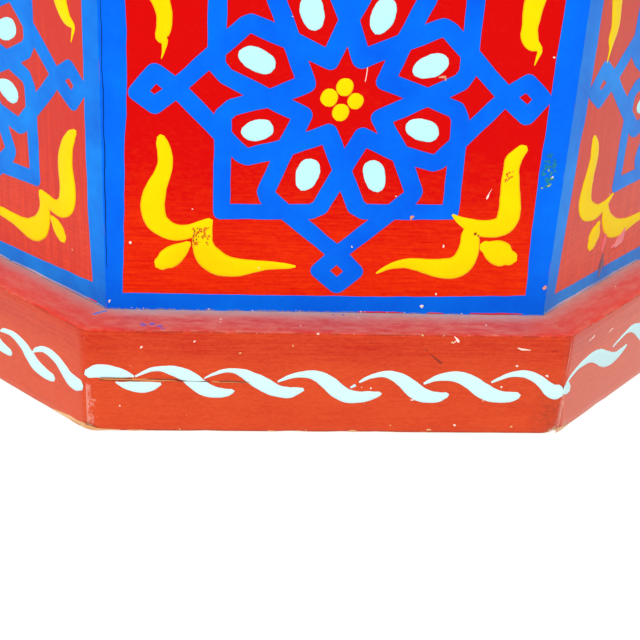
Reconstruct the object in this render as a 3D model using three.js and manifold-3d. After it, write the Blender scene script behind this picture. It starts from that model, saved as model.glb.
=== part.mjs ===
// Moroccan kursi stool: a low eight-sided seat of painted boards.
//
// Eight upright side panels are mitred into an octagonal box. Plinth boards go round its foot and
// frieze boards round its top, nailed from inside so that no nail shows, and glue blocks stiffen
// the corners. Three planks, screwed from below to two battens, make the seat, which is glued on
// the box. The underside is open.
//
// Millimetres, +Z up. The origin is the centre of the footprint on the floor, and side 1, the
// front, faces -Y. The sides are numbered anticlockwise from above.

import * as THREE from "three";
import { mergeVertices } from "three/addons/utils/BufferGeometryUtils.js";
import Module from "manifold-3d";

const wasm = await Module();
wasm.setup();

// Driving dimensions of the box
const sides = 8;
const panelWidth = 180; // outer face of one panel, corner to corner
const panelThickness = 15;
const paintedHeight = 182; // panel height that shows between plinth and frieze
const panelLift = 1.5; // the panels stop short of the floor, so the plinth carries the stool

// Plinth and frieze, the boards round the foot and round the top
const plinthHeight = 46.5;
const plinthThickness = 18.5;
const friezeHeight = 46.5;
const friezeThickness = 18.5;

// Seat
const plankCount = 3;
const seatThickness = 20;
const seatOverhang = 7; // past the frieze
const seatEdgeRadius = 6;
const seatEdgeSteps = 3; // flats on each rounded arris

// Battens under the seat
const battenWidth = 40;
const battenThickness = 20;
const battenOffset = 58; // centre line of each batten from the middle of the seat

// Glue blocks in the corners
const blockLeg = 34; // along each of the two panels that it joins
const blockFootGap = 12; // above the floor
const blockHeadroom = 6; // below the battens

// Wire nails from inside, through the panels into plinth and frieze
const nailRadius = 1.1;
const nailHeadRadius = 2.6;
const nailHeadThickness = 1;
const nailTipLength = 2.5;
const nailTipCover = 4; // wood left in front of the tip

// Countersunk wood screws through the battens into the planks
const screwRadius = 1.8;
const screwHeadRadius = 4;
const screwHeadHeight = 2.6;
const screwTipLength = 4;
const screwTipCover = 6; // wood left above the tip

// Clearances
const glueLine = 0.3; // between boards that meet face to face
const fastenerFit = 0.3; // round nails and screws
const cutOverrun = 2; // a hole's tool runs this far out of the wood
const roundSteps = 8; // flats round a nail or a screw

// Materials, as the paint, the bare wood and the fasteners look
const painted = { roughness: 0.45, metalness: 0 };
const finishes = {
  panelRed: new THREE.MeshStandardMaterial({ color: "#d8200f", ...painted }),
  bandRed: new THREE.MeshStandardMaterial({ color: "#c8401f", ...painted }),
  rawPine: new THREE.MeshStandardMaterial({ color: "#c49a6c", roughness: 0.8, metalness: 0 }),
  steel: new THREE.MeshStandardMaterial({ color: "#8c8a86", roughness: 0.4, metalness: 1 }),
};

// Sizes that follow from the driving dimensions
const halfTurn = Math.PI / sides; // from the middle of a side to its corner
const panelApothem = panelWidth / 2 / Math.tan(halfTurn);
const innerApothem = panelApothem - panelThickness;
const plinthApothem = panelApothem + plinthThickness;
const friezeApothem = panelApothem + friezeThickness;
const seatApothem = friezeApothem + seatOverhang;
const friezeBottom = plinthHeight + paintedHeight;
const boxTop = friezeBottom + friezeHeight;
const seatBottom = boxTop + glueLine;
const battenTop = seatBottom - glueLine;
const battenBottom = battenTop - battenThickness;

// A closed geometry as a solid that can be cut and joined
function solidOf(geometry) {
  const bare = geometry.index ? geometry.toNonIndexed() : geometry.clone();
  bare.deleteAttribute("normal");
  bare.deleteAttribute("uv");
  const merged = mergeVertices(bare);
  return new wasm.Manifold(
    new wasm.Mesh({
      numProp: 3,
      vertProperties: new Float32Array(merged.attributes.position.array),
      triVerts: new Uint32Array(merged.index.array),
    }),
  );
}

// A solid back as a geometry with flat faces
function geometryOf(solid) {
  const mesh = solid.getMesh();
  const geometry = new THREE.BufferGeometry();
  geometry.setAttribute("position", new THREE.BufferAttribute(mesh.vertProperties, 3));
  geometry.setIndex(new THREE.BufferAttribute(mesh.triVerts, 1));
  const flat = geometry.toNonIndexed();
  flat.computeVertexNormals();
  return flat;
}

// An outline in the XY plane, raised from one height to another
function prism(outline, bottom, top) {
  const shape = new THREE.Shape(outline.map(([x, y]) => new THREE.Vector2(x, y)));
  const geometry = new THREE.ExtrudeGeometry(shape, { depth: top - bottom, bevelEnabled: false });
  return geometry.translate(0, 0, bottom);
}

// A profile of [radius, height] points turned round +Z, from the axis and back to it
function turned(profile, steps, firstAngle) {
  const points = profile.map(([radius, height]) => new THREE.Vector2(radius, height));
  return new THREE.LatheGeometry(points, steps, firstAngle).rotateX(Math.PI / 2);
}

// Half the width of a mitred board at a distance from the stool's axis, less half the glue line
function mitreAt(apothem) {
  return apothem * Math.tan(halfTurn) - glueLine / 2 / Math.cos(halfTurn);
}

// A board of the front side, with both ends mitred to meet its neighbours
function mitredBoard(inner, outer, bottom, top) {
  const outline = [
    [-mitreAt(outer), -outer],
    [mitreAt(outer), -outer],
    [mitreAt(inner), -inner],
    [-mitreAt(inner), -inner],
  ];
  return prism(outline, bottom, top);
}

// A nail along +Z, with its head at the foot and its tip at the top
function nail(length) {
  const profile = [
    [0, 0],
    [nailHeadRadius, 0],
    [nailHeadRadius, nailHeadThickness],
    [nailRadius, nailHeadThickness],
    [nailRadius, length - nailTipLength],
    [0, length],
  ];
  return turned(profile, roundSteps);
}

// The hole for that nail's shank
function nailHole(length) {
  const radius = nailRadius + fastenerFit;
  const profile = [
    [0, -cutOverrun],
    [radius, -cutOverrun],
    [radius, length - nailTipLength],
    [0, length + fastenerFit],
  ];
  return turned(profile, roundSteps);
}

// A countersunk screw along +Z in the same way, fattened by a fit where it is a hole's tool
function screw(length, fit = 0, overrun = 0) {
  const profile = [
    [0, -overrun],
    [screwHeadRadius + fit, -overrun],
    [screwHeadRadius + fit, fit],
    [screwRadius + fit, screwHeadHeight + fit],
    [screwRadius + fit, length - screwTipLength],
    [0, length + fit],
  ];
  return turned(profile, roundSteps);
}

const stool = new THREE.Group();

function add(name, geometry, material, parent = stool) {
  const mesh = new THREE.Mesh(geometry, material);
  mesh.name = name;
  parent.add(mesh);
  return mesh;
}

// The two bands of boards. Their nails stand with the head on the panel's inner face.
const nailFoot = innerApothem - fastenerFit - nailHeadThickness;

function bandOf(apothem, bottom, top) {
  const length = apothem - nailTipCover - nailFoot;
  const outward = (geometry) =>
    geometry.rotateX(Math.PI / 2).translate(0, -nailFoot, (bottom + top) / 2);
  const hole = solidOf(outward(nailHole(length)));
  const blank = solidOf(mitredBoard(panelApothem + glueLine, apothem, bottom, top));
  return { hole, board: geometryOf(blank.subtract(hole)), nail: outward(nail(length)) };
}

const bands = {
  plinth: bandOf(plinthApothem, 0, plinthHeight),
  frieze: bandOf(friezeApothem, friezeBottom, boxTop),
};

const panelBlank = solidOf(mitredBoard(innerApothem, panelApothem, panelLift, boxTop));
const panelGeometry = geometryOf(
  panelBlank.subtract(bands.plinth.hole).subtract(bands.frieze.hole),
);

for (let side = 0; side < sides; side++) {
  const place = new THREE.Group();
  place.rotation.z = side * 2 * halfTurn;
  stool.add(place);
  const number = side + 1;
  add(`side_panel_${number}`, panelGeometry, finishes.panelRed, place);
  for (const [word, band] of Object.entries(bands)) {
    add(`${word}_board_${number}`, band.board, finishes.bandRed, place);
    add(`${word}_nail_${number}`, band.nail, finishes.steel, place);
  }
}

// Glue blocks: each fills the corner between two panels, cut flat towards the axis
function blockOutline() {
  const corner = (innerApothem - glueLine) / Math.cos(halfTurn);
  const reach = blockLeg * Math.cos(halfTurn); // half the width of the flat inner face
  const face = corner - blockLeg * Math.sin(halfTurn);
  return [
    [0, -corner],
    [reach, -face],
    [-reach, -face],
  ];
}

const blockGeometry = prism(blockOutline(), blockFootGap, battenBottom - blockHeadroom);

for (let corner = 0; corner < sides; corner++) {
  const block = add(`corner_block_${corner + 1}`, blockGeometry, finishes.rawPine);
  block.rotation.z = (2 * corner + 1) * halfTurn;
}

// How far +Y runs inside the box, at a distance x from the middle
function reachInside(x) {
  let reach = innerApothem;
  for (let side = 0; side < sides; side++) {
    const angle = side * 2 * halfTurn;
    const wall = (innerApothem - x * Math.sin(angle)) / Math.cos(angle);
    if (Math.cos(angle) > 0) reach = Math.min(reach, wall);
  }
  return reach;
}

// Places of the seat's planks, battens and screws
const plankPitch = (2 * seatApothem) / plankCount;
const plankMiddles = [];
for (let plank = 0; plank < plankCount; plank++) {
  plankMiddles.push((plank - (plankCount - 1) / 2) * plankPitch);
}
const battenMiddles = [-battenOffset, battenOffset];
const battenLength = 2 * (reachInside(battenOffset + battenWidth / 2) - glueLine);
const screwLength = battenThickness + glueLine + seatThickness - screwTipCover;
const screwPlaces = battenMiddles.flatMap((x) => plankMiddles.map((y) => [x, y]));

// The seat's edge, from the middle of its underside round to the middle of its top
function seatProfile() {
  const profile = [[0, 0]];
  const turns = [
    [seatEdgeRadius, -Math.PI / 2],
    [seatThickness - seatEdgeRadius, 0],
  ];
  for (const [height, start] of turns) {
    for (let step = 0; step <= seatEdgeSteps; step++) {
      const angle = start + (step / seatEdgeSteps) * (Math.PI / 2);
      const apothem = seatApothem - seatEdgeRadius + seatEdgeRadius * Math.cos(angle);
      profile.push([apothem / Math.cos(halfTurn), height + seatEdgeRadius * Math.sin(angle)]);
    }
  }
  profile.push([0, seatThickness]);
  return profile;
}

const screwHoles = screwPlaces.map(([x, y]) =>
  solidOf(screw(screwLength, fastenerFit, cutOverrun).translate(x, y, battenBottom)),
);

function drilled(solid) {
  return geometryOf(screwHoles.reduce((wood, hole) => wood.subtract(hole), solid));
}

const seatBlank = solidOf(turned(seatProfile(), sides, halfTurn).translate(0, 0, seatBottom));

plankMiddles.forEach((y, i) => {
  const length = 2 * seatApothem + cutOverrun;
  const slice = new THREE.BoxGeometry(length, plankPitch - glueLine, seatThickness + cutOverrun);
  slice.translate(0, y, seatBottom + seatThickness / 2);
  const plank = seatBlank.intersect(solidOf(slice));
  add(`seat_plank_${i + 1}`, drilled(plank), finishes.panelRed);
});

battenMiddles.forEach((x, i) => {
  const batten = new THREE.BoxGeometry(battenWidth, battenLength, battenThickness);
  batten.translate(x, 0, (battenTop + battenBottom) / 2);
  add(`seat_batten_${i + 1}`, drilled(solidOf(batten)), finishes.rawPine);
});

screwPlaces.forEach(([x, y], i) => {
  add(`seat_screw_${i + 1}`, screw(screwLength).translate(x, y, battenBottom), finishes.steel);
});

export default stool;
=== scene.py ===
import math
import random

import bmesh
import bpy
from mathutils import Matrix, Vector, noise
from mathutils.geometry import delaunay_2d_cdt


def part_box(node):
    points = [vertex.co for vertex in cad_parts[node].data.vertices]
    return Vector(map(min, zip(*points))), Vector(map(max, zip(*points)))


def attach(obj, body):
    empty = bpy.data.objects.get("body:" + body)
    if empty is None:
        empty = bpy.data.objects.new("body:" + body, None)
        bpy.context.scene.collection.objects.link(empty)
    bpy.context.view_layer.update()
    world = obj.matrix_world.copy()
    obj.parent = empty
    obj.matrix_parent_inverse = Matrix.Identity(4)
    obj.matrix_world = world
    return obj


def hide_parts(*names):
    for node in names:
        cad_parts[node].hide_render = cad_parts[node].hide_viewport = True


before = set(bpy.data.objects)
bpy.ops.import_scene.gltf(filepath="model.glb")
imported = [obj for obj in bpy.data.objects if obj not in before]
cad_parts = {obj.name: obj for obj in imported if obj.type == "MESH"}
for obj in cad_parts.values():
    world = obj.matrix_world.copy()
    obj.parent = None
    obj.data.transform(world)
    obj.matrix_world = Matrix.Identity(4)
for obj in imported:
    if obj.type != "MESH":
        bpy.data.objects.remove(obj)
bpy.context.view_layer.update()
scene = bpy.context.scene
mm = 0.001
sides = range(1, 9)
seenSides = (1, 2, 8)
halfTurn = math.radians(22.5)
flare = math.tan(halfTurn)
print("frame loaded:", len(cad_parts), "nodes")

panelLow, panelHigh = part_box("side_panel_1")
plinthLow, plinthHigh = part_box("plinth_board_1")
friezeLow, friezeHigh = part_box("frieze_board_1")
seatLow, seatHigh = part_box("seat_plank_2")
panelFace = -panelLow.y / mm
panelBack = -panelHigh.y / mm
bandFace = -plinthLow.y / mm
ledge = plinthHigh.z / mm
friezeFoot = friezeLow.z / mm
boxTop = friezeHigh.z / mm
seatFoot = seatLow.z / mm
seatTop = seatHigh.z / mm
seatFace = seatHigh.x / mm


# helpers
def linear(hexColour):
    channels = [int(hexColour[i:i + 2], 16) / 255 for i in (1, 3, 5)]
    return [c / 12.92 if c <= 0.04045 else ((c + 0.055) / 1.055) ** 2.4 for c in channels] + [1]


def put(tree, kind, values=None, **settings):
    # one node with its settings; a value is a constant, or the signal that feeds the input
    node = tree.nodes.new(kind)
    for key, value in settings.items():
        setattr(node, key, value)
    for key, value in (values or {}).items():
        if isinstance(value, Signal):
            value.feed(node, key)
        else:
            node.inputs[key].default_value = value
    return node


def signal(tree, kind, values=None, output=0, **settings):
    # one output of a new node
    return Signal(tree, put(tree, kind, values, **settings).outputs[output])


def combined(tree, *parts):
    return signal(tree, "ShaderNodeCombineXYZ", dict(enumerate(parts)))


class Signal:
    # an output socket, wrapped so that node arithmetic reads like any other
    def __init__(self, tree, socket):
        self.tree = tree
        self.socket = socket

    def feed(self, node, key):
        self.tree.links.new(self.socket, node.inputs[key])

    def calc(self, operation, other=0.0, clamp=False):
        return signal(self.tree, "ShaderNodeMath", {0: self, 1: other}, operation=operation, use_clamp=clamp)

    def __add__(self, other):
        return self.calc("ADD", other)

    def __sub__(self, other):
        return self.calc("SUBTRACT", other)

    def __mul__(self, other):
        return self.calc("MULTIPLY", other)

    def __truediv__(self, other):
        return self.calc("DIVIDE", other)

    def __abs__(self):
        return self.calc("ABSOLUTE")

    def larger(self, other):
        return self.calc("MAXIMUM", other)

    def clamped(self):
        return self.calc("ADD", clamp=True)

    def parts(self):
        node = put(self.tree, "ShaderNodeSeparateXYZ", {0: self})
        return [Signal(self.tree, socket) for socket in node.outputs]

    def ramp(self, low, high, lowTo=0.0, highTo=1.0, kind="SMOOTHSTEP"):
        # goes from lowTo to highTo as the signal goes from low to high
        ends = {"Value": self, "From Min": low, "From Max": high, "To Min": lowTo, "To Max": highTo}
        return signal(self.tree, "ShaderNodeMapRange", ends, interpolation_type=kind)

    def blend(self, under, over):
        # the colour over the colour under, as far as the signal says; each is a signal or hex text
        under, over = (linear(c) if isinstance(c, str) else c for c in (under, over))
        return signal(self.tree, "ShaderNodeMix", {"Factor": self, 6: under, 7: over}, 2, data_type="RGBA")

    def grain(self, scale=1.0, detail=2.0, rough=0.5, output=0):
        values = {"Vector": self, "Scale": scale, "Detail": detail, "Roughness": rough}
        return signal(self.tree, "ShaderNodeTexNoise", values, output)

    def stretched(self, scale):
        return signal(self.tree, "ShaderNodeMapping", {"Vector": self, "Scale": scale})

    def bump(self, shader, strength, distance):
        values = {"Height": self, "Strength": strength, "Distance": distance}
        signal(self.tree, "ShaderNodeBump", values).feed(shader, "Normal")

    def shaped(self, kind, values=None, **settings):
        # the geometry that a geometry node makes of this one
        return signal(self.tree, "GeometryNode" + kind, {0: self, **(values or {})}, **settings)

    def noted(self, name, value, kind="FLOAT"):
        # the geometry with a value kept on its points
        values = {"Name": name, "Value": value}
        return self.shaped("StoreNamedAttribute", values, data_type=kind, domain="POINT")


def startMaterial(name, roughness, ior=1.45, veil=0.0, veilColour="#ffffff"):
    # veil is the pale bloom that old brushed enamel shows at a glancing angle
    material = bpy.data.materials.new(name)
    material.use_nodes = True
    tree = material.node_tree
    tree.nodes.clear()
    shader = put(tree, "ShaderNodeBsdfPrincipled", {
        "Roughness": roughness, "IOR": ior, "Sheen Weight": veil, "Sheen Roughness": 0.35,
        "Sheen Tint": linear(veilColour)})
    Signal(tree, shader.outputs["BSDF"]).feed(put(tree, "ShaderNodeOutputMaterial"), "Surface")
    return material, tree, shader


def keep(piece, slotName, *nodes):
    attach(piece, "root")
    if nodes:
        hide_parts(*nodes)
    return piece


def linked(name, data):
    made = bpy.data.objects.new(name, data)
    scene.collection.objects.link(made)
    return made


def clad(data, material):
    data.materials.clear()
    data.materials.append(material)


def pieceOf(name, mesh, material):
    clad(mesh, material)
    return linked(name, mesh)


def meshOf(bm, name, sharp=None):
    # smooth but for edges over the sharp angle, in degrees, if one is given
    mesh = bpy.data.meshes.new(name)
    bm.to_mesh(mesh)
    bm.free()
    if sharp:
        mesh.shade_smooth()
        mesh.set_sharp_from_angle(angle=math.radians(sharp))
    return mesh


def sideTurn(side):
    return Matrix.Rotation(math.radians(45 * (side - 1)), 4, "Z")


# camera, light, floor
view = {
    "lens": 68.915,
    "sensor": 36,
    "nearest": 0.01,
    "place": (-0.04660, -0.66527, 0.27108),
    "yaw": -0.09680,
    "pitch": 0.46942,
    "roll": 0.058665,
}


def addCamera():
    turned = Matrix.Rotation(-view["yaw"], 3, "Z")
    level = Matrix(((1, 0, 0), (0, 0, -1), (0, 1, 0)))
    tipped = Matrix.Rotation(view["pitch"], 3, "X")
    rolled = Matrix.Rotation(view["roll"], 3, "Z")
    right, down, ahead = rolled @ tipped @ level @ turned
    data = bpy.data.cameras.new("camera")
    data.sensor_width = view["sensor"]
    data.lens = view["lens"]
    data.clip_start = view["nearest"]
    placed = Matrix((right, -down, -ahead)).transposed().to_4x4()
    placed.translation = Vector(view["place"])
    scene.camera = linked("camera", data)
    scene.camera.matrix_world = placed


light = {
    "world": 0.76,
    "softbox": 19,
    "softboxSize": 1.3,
    "softboxPlace": (-0.55, -1.65, 1.35),
    "softboxAim": (0, 0, 0.12),
    "floorColour": "#f4f4f3",
    "floorGlow": 0.46,
    "floorDrop": 0.0003,
    "floorSize": 4.0,
}


def inSight(tree):
    # 1 where the camera looks straight at a thing, or in a mirror, or through glass
    rays = put(tree, "ShaderNodeLightPath").outputs
    kinds = ("Camera", "Glossy", "Transmission")
    camera, glossy, through = (Signal(tree, rays[f"Is {kind} Ray"]) for kind in kinds)
    return camera.larger(glossy).larger(through)


def addLight():
    world = bpy.data.worlds.new("studio")
    scene.world = world
    world.use_nodes = True
    tree = world.node_tree
    tree.nodes.clear()
    strength = inSight(tree).ramp(0.0, 1.0, light["world"], 1.0, "LINEAR")
    back = signal(tree, "ShaderNodeBackground", {"Color": (1, 1, 1, 1), "Strength": strength})
    put(tree, "ShaderNodeOutputWorld", {"Surface": back})
    lamp = bpy.data.lights.new("softbox", "AREA")
    lamp.shape = "SQUARE"
    lamp.size = light["softboxSize"]
    lamp.energy = light["softbox"]
    softbox = linked("softbox", lamp)
    softbox.location = light["softboxPlace"]
    aim = Vector(light["softboxAim"]) - Vector(light["softboxPlace"])
    softbox.rotation_euler = aim.to_track_quat("-Z", "Y").to_euler()


def addFloor():
    material, tree, shader = startMaterial("whiteStudioFloor", 0.9)
    shader.inputs["Base Color"].default_value = linear(light["floorColour"])
    shader.inputs["Specular IOR Level"].default_value = 0.0
    shader.inputs["Emission Color"].default_value = (1, 1, 1, 1)
    (inSight(tree) * light["floorGlow"]).feed(shader, "Emission Strength")
    bm = bmesh.new()
    bmesh.ops.create_grid(bm, x_segments=4, y_segments=4, size=light["floorSize"])
    bmesh.ops.translate(bm, verts=bm.verts, vec=(0, 0, -light["floorDrop"]))
    floor = pieceOf("floor", meshOf(bm, "floor"), material)


scene.view_settings.view_transform = "Standard"
addCamera()
addLight()
addFloor()
print("camera, light and floor placed")


# board paint
# how each grain runs on a board: cell size in metres along it, out of it and up it, detail, roughness, shift
grains = {
    "patch": ((0.030, 0.030, 0.012), 3.0, 0.55, 3.1),
    "upright": ((0.0022, 0.01, 0.04), 4.0, 0.7, 2.7),
    "mottle": ((0.009, 0.003, 0.02), 5.0, 0.7, 5.7),
    "grit": ((0.005, 0.0025, 0.02), 5.0, 0.7, 8.8),
    "broken": ((0.011, 0.5, 0.5), 4.0, 0.7, 2.2),
    "chips": ((0.0016, 0.0009, 0.0009), 3.0, 0.7, 7.9),
    "kicks": ((0.0024, 0.002, 0.0022), 5.0, 0.8, 4.9),
    "rubbing": ((0.0035, 0.0035, 0.005), 5.0, 0.75, 1.9),
    "stipple": ((0.0009, 0.0009, 0.0012), 3.0, 0.7, 6.6),
    "figure": ((0.16, 0.0035, 0.0035), 4.0, 0.6, 4.4),
    "fibre": ((0.05, 0.0006, 0.0006), 2.0, 0.6, 6.1),
    "foot": ((0.012, 0.012, 0.01), 5.0, 0.8, 0.7),
}
grainShift = 7.31


# Alkyd enamel brushed on pine: glossy, with the bristle lines left in it, thin and pale where it is rubbed.
def paintedBoard(name, look):
    material, tree, shader = startMaterial(name, look["roughness"], look["ior"], look["veil"],
                                           look["veilColour"])
    number = signal(tree, "ShaderNodeAttribute", None, "Fac", attribute_name="boardNumber")
    along, out, up = signal(tree, "ShaderNodeAttribute", None, "Vector", attribute_name="boardPlace").parts()

    def grain(size, detail, rough, shift=0.0):
        moved = number * grainShift + shift
        cells = combined(tree, *(axis * (1 / length) + moved for axis, length in zip((along, out, up), size)))
        return cells.grain(1.0, detail, rough)

    bristle = grain(look["bristle"], 3.0, 0.6)
    patch = grain(*grains["patch"])
    # painted light and shade: each board is painted brighter towards its foot and darker higher up, as the
    # light falls
    lower = up.ramp(look["paintedLightFrom"], look["paintedLightTo"])
    lines = (bristle - 0.5) * lower.ramp(0.0, 1.0, look["linesHigh"], look["linesLow"])
    fromFront = abs(number - 1.0)
    other = fromFront.ramp(0.4, 0.6)
    if "upright" in look:
        # the other sides were brushed up and down
        lines += other * ((grain(*grains["upright"]) - 0.5) * look["upright"])
    fleck = (grain(look["fleckSize"], 4.0, 0.75, 9.4) - 0.5) * look["flecks"]
    tone = lower * look["paintedLightBelow"] + (patch - 0.5) * look["patches"] + fleck
    paint = (tone + lines + look["base"]).clamped().blend(look["deep"], look["bright"])
    # painted sheen: every board but the front panel is mixed paler and duller, standing in for the glancing
    # reflection on the sides
    if "upright" in look:
        paint = (other * look["paintedSheen"]).blend(paint, look["paintedSheenColour"])
    # short dark strokes where the grain shows through the last coat
    pores = grain(look["poreSize"], 3.0, 0.65, 3.9).ramp(0.60, 0.72)
    poresAt = up.ramp(look["poresFrom"], look["poresTo"], look["poresFew"], look["poresMany"])
    paint = (pores * poresAt).blend(paint, look["poreColour"])
    gloss = patch * 0.16 + (look["roughness"] - 0.08)
    if "ledgeColour" in look:
        # dust lies on the ledge, greyest in the angle against the panel
        top = ledge * mm
        flat = up.ramp(top - 0.0007, top - 0.0002)
        mottle = grain(*grains["mottle"])
        dusty = mottle.ramp(0.36, 0.66).blend(look["ledgeColour"], look["ledgeLight"])
        angle = out.ramp(panelFace * mm + 0.0095, panelFace * mm + 0.0005)
        angle = (angle + (grain(*grains["grit"]) - 0.5) * 1.1).clamped()
        dusty = (angle * 0.85).blend(dusty, look["ledgeDust"])
        # the front's ledge has faded to rose between its corners; the others are still orange-red
        front = fromFront.ramp(0.6, 0.4)
        inner = (mottle * 0.02 + abs(along)).ramp(0.101, 0.086)
        fresh = mottle.ramp(0.42, 0.7).blend(look["ledgeFresh"], look["ledgeScuffed"])
        fresh = (angle * 0.35).blend(fresh, look["ledgeDust"])
        paint = flat.blend(paint, (front * inner * 0.8 + 0.2).blend(fresh, dusty))
        gloss = flat * 0.3 + gloss
        # a broken dark line along the arris, with chips
        rim = up.ramp(top - 0.0012, top - 0.0007) * up.ramp(top - 0.0001, top - 0.0004)
        broken = grain(*grains["broken"])
        paint = (rim * broken.ramp(0.44, 0.56, 0.0, 0.5)).blend(paint, look["arrisDarkAndFootShadow"])
        paint = (rim * grain(*grains["chips"]).ramp(0.63, 0.72)).blend(paint, look["rimChip"])
        # painted shadow: a broken dark line along the foot, where the board meets the floor
        paint = (up.ramp(0.0011, 0.0005) * broken.ramp(0.4, 0.55, 0.35, 0.8)).blend(paint, look["arrisDarkAndFootShadow"])
        # kicked and dirty at the right end of the front
        kicked = front * along.ramp(0.0835, 0.0935) * up.ramp(0.029, 0.020)
        kicked *= grain(*grains["kicks"]).ramp(0.42, 0.66, 0.1, 0.7)
        paint = kicked.blend(paint, look["dirtyEnd"])
    toMitre = out * flare - abs(along)
    rubbing = grain(*grains["rubbing"])
    if "rub" in look:
        # rubbed arrises at the mitres, palest low on the left
        wide = along.ramp(0.002, -0.002) * (patch * 0.008 + up).ramp(0.029, 0.022)
        rub = wide * look["rubWide"] + (rubbing - 0.5) * look["rubReach"] - toMitre
        rub = rub.ramp(look["rubStart"], look["rubStart"] + 0.0012)
        rub *= grain(*grains["stipple"]).ramp(0.3, 0.62, look["rub"] * 0.35, look["rub"])
        paint = rub.blend(paint, look["rubColour"])
    # pine under the paint
    fibre = grain(*grains["fibre"])
    wood = (grain(*grains["figure"]) * 1.5 + fibre * 0.5 - 0.5).clamped().blend("#c08040", "#efc894")
    bare = up.ramp(look["paintedAbove"] + 0.0002, look["paintedAbove"] - 0.0002)
    if "paintedFrom" in look:
        bare = bare.larger(out.ramp(look["paintedFrom"] + 0.0003, look["paintedFrom"] - 0.0003))
    if "bareCorner" in look:
        corner = toMitre + up - rubbing * 0.012
        foot = up - grain(*grains["foot"]) * 0.0032
        bare = bare.larger(corner.ramp(look["bareCorner"], look["bareCorner"] - 0.0022))
        bare = bare.larger(foot.ramp(look["bareEdge"], look["bareEdge"] - 0.0004))
    bare.blend(paint, wood).feed(shader, "Base Color")
    (bare * 0.35 + gloss).clamped().feed(shader, "Roughness")
    height = bristle * look["bristleDepth"] + patch * 0.00012 + bare * (fibre * 0.00015)
    height.bump(shader, 1.0, 1.0)
    return material


panelLook = {
    "deep": "#d60000",
    "bright": "#fb4000",
    "base": -0.06,
    "flecks": 0.9,
    "fleckSize": (0.0022, 0.01, 0.0011),
    "poreSize": (0.005, 0.01, 0.0005),
    "poresFrom": 0.12,
    "poresTo": 0.07,
    "poresFew": 0.15,
    "poresMany": 0.7,
    "poreColour": "#c81400",
    "paintedLightBelow": 0.48,
    "paintedLightFrom": 0.130,
    "paintedLightTo": 0.060,
    "patches": 0.35,
    "linesHigh": 0.2,
    "linesLow": 1.25,
    "upright": 2.4,
    "paintedSheen": 0.34,
    "paintedSheenColour": "#c85c4c",
    "bristle": (0.016, 0.01, 0.0008),
    "bristleDepth": 0.00007,
    "roughness": 0.34,
    "ior": 1.1,
    "veil": 1.0,
    "veilColour": "#fffaea",
    "paintedAbove": 0.002,
}
bandLook = {
    "deep": "#c42400",
    "bright": "#db4c1c",
    "base": 0.4,
    "flecks": 1.5,
    "fleckSize": (0.0024, 0.01, 0.0009),
    "poreSize": (0.0050, 0.01, 0.00045),
    "poresFrom": 0.024,
    "poresTo": 0.038,
    "poresFew": 0.2,
    "poresMany": 0.9,
    "poreColour": "#980f04",
    "paintedLightBelow": 0.4,
    "paintedLightFrom": 0.040,
    "paintedLightTo": 0.028,
    "patches": 0.7,
    "linesHigh": 1.6,
    "linesLow": 0.55,
    "bristle": (0.035, 0.01, 0.0011),
    "bristleDepth": 0.00006,
    "roughness": 0.45,
    "ior": 1.28,
    "veil": 1.0,
    "veilColour": "#fffaf0",
    "ledgeColour": "#d43430",
    "ledgeLight": "#dc6c60",
    "ledgeDust": "#dcaa9a",
    "ledgeFresh": "#ec3010",
    "ledgeScuffed": "#ea5c44",
    "arrisDarkAndFootShadow": "#8c2010",
    "rimChip": "#f0c8b0",
    "rub": 0.75,
    "rubWide": 0.0034,
    "rubReach": 0.012,
    "rubStart": 0.0008,
    "rubColour": "#eca090",
    "bareCorner": -0.0012,
    "bareEdge": -0.0012,
    "dirtyEnd": "#9c3420",
    "paintedAbove": 0.0003,
}
friezeLook = {
    **{key: value for key, value in bandLook.items() if not key.startswith(("ledge", "bare"))},
    "paintedLightFrom": 0.268,
    "paintedLightTo": 0.250,
    "rub": 0.5,
    "rubWide": 0.0,
    "poresFrom": 0.25,
    "poresTo": 0.27,
    "paintedAbove": 0.0,
}
seatLook = {
    **panelLook,
    "paintedLightFrom": 0.2,
    "paintedLightTo": 0.1,
    "base": 0.3,
    "roughness": 0.4,
    "bristle": (0.060, 0.0012, 0.01),
    "linesHigh": 0.7,
    "fleckSize": (0.006, 0.0016, 0.01),
    "poreSize": (0.009, 0.0006, 0.01),
    "poresFew": 0.3,
    "bareCorner": -0.02,
    "bareEdge": -0.01,
    "paintedAbove": seatFoot * mm + 0.0008,
}
panelPaint = paintedBoard("brushedRedEnamelOnPine", {**panelLook, "paintedFrom": panelFace * mm - 0.0012})
bandPaint = paintedBoard("rubbedOrangeRedEnamelOnPine", bandLook)
friezePaint = paintedBoard("orangeRedEnamelUnderSeat", friezeLook)
seatPaint = paintedBoard("rubbedRedEnamelSeat", seatLook)
print("board paints mixed")


# boards
board = {
    "gap": 0.02,
    "panelArris": 0.4,
    "bandArris": 0.7,
    "arrisSteps": 3,
    "spacing": 7.0,
    "panelSpacing": 9,
    "nearEnds": (0.0, 0.5, 1.0, 1.6, 2.4, 3.4, 4.8, 6.6, 9.0, 12.5),
    "wornDepth": 4,
    "cornerRound": 2.8,
    "cornerDrop": 0.55,
    "brokenBelow": 14,
    "brokenCorner": 8.0,
    "brokenDrop": 2.4,
    "footDents": 0.9,
    "dentHeight": 3.0,
    "sharp": 50,
}


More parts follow.
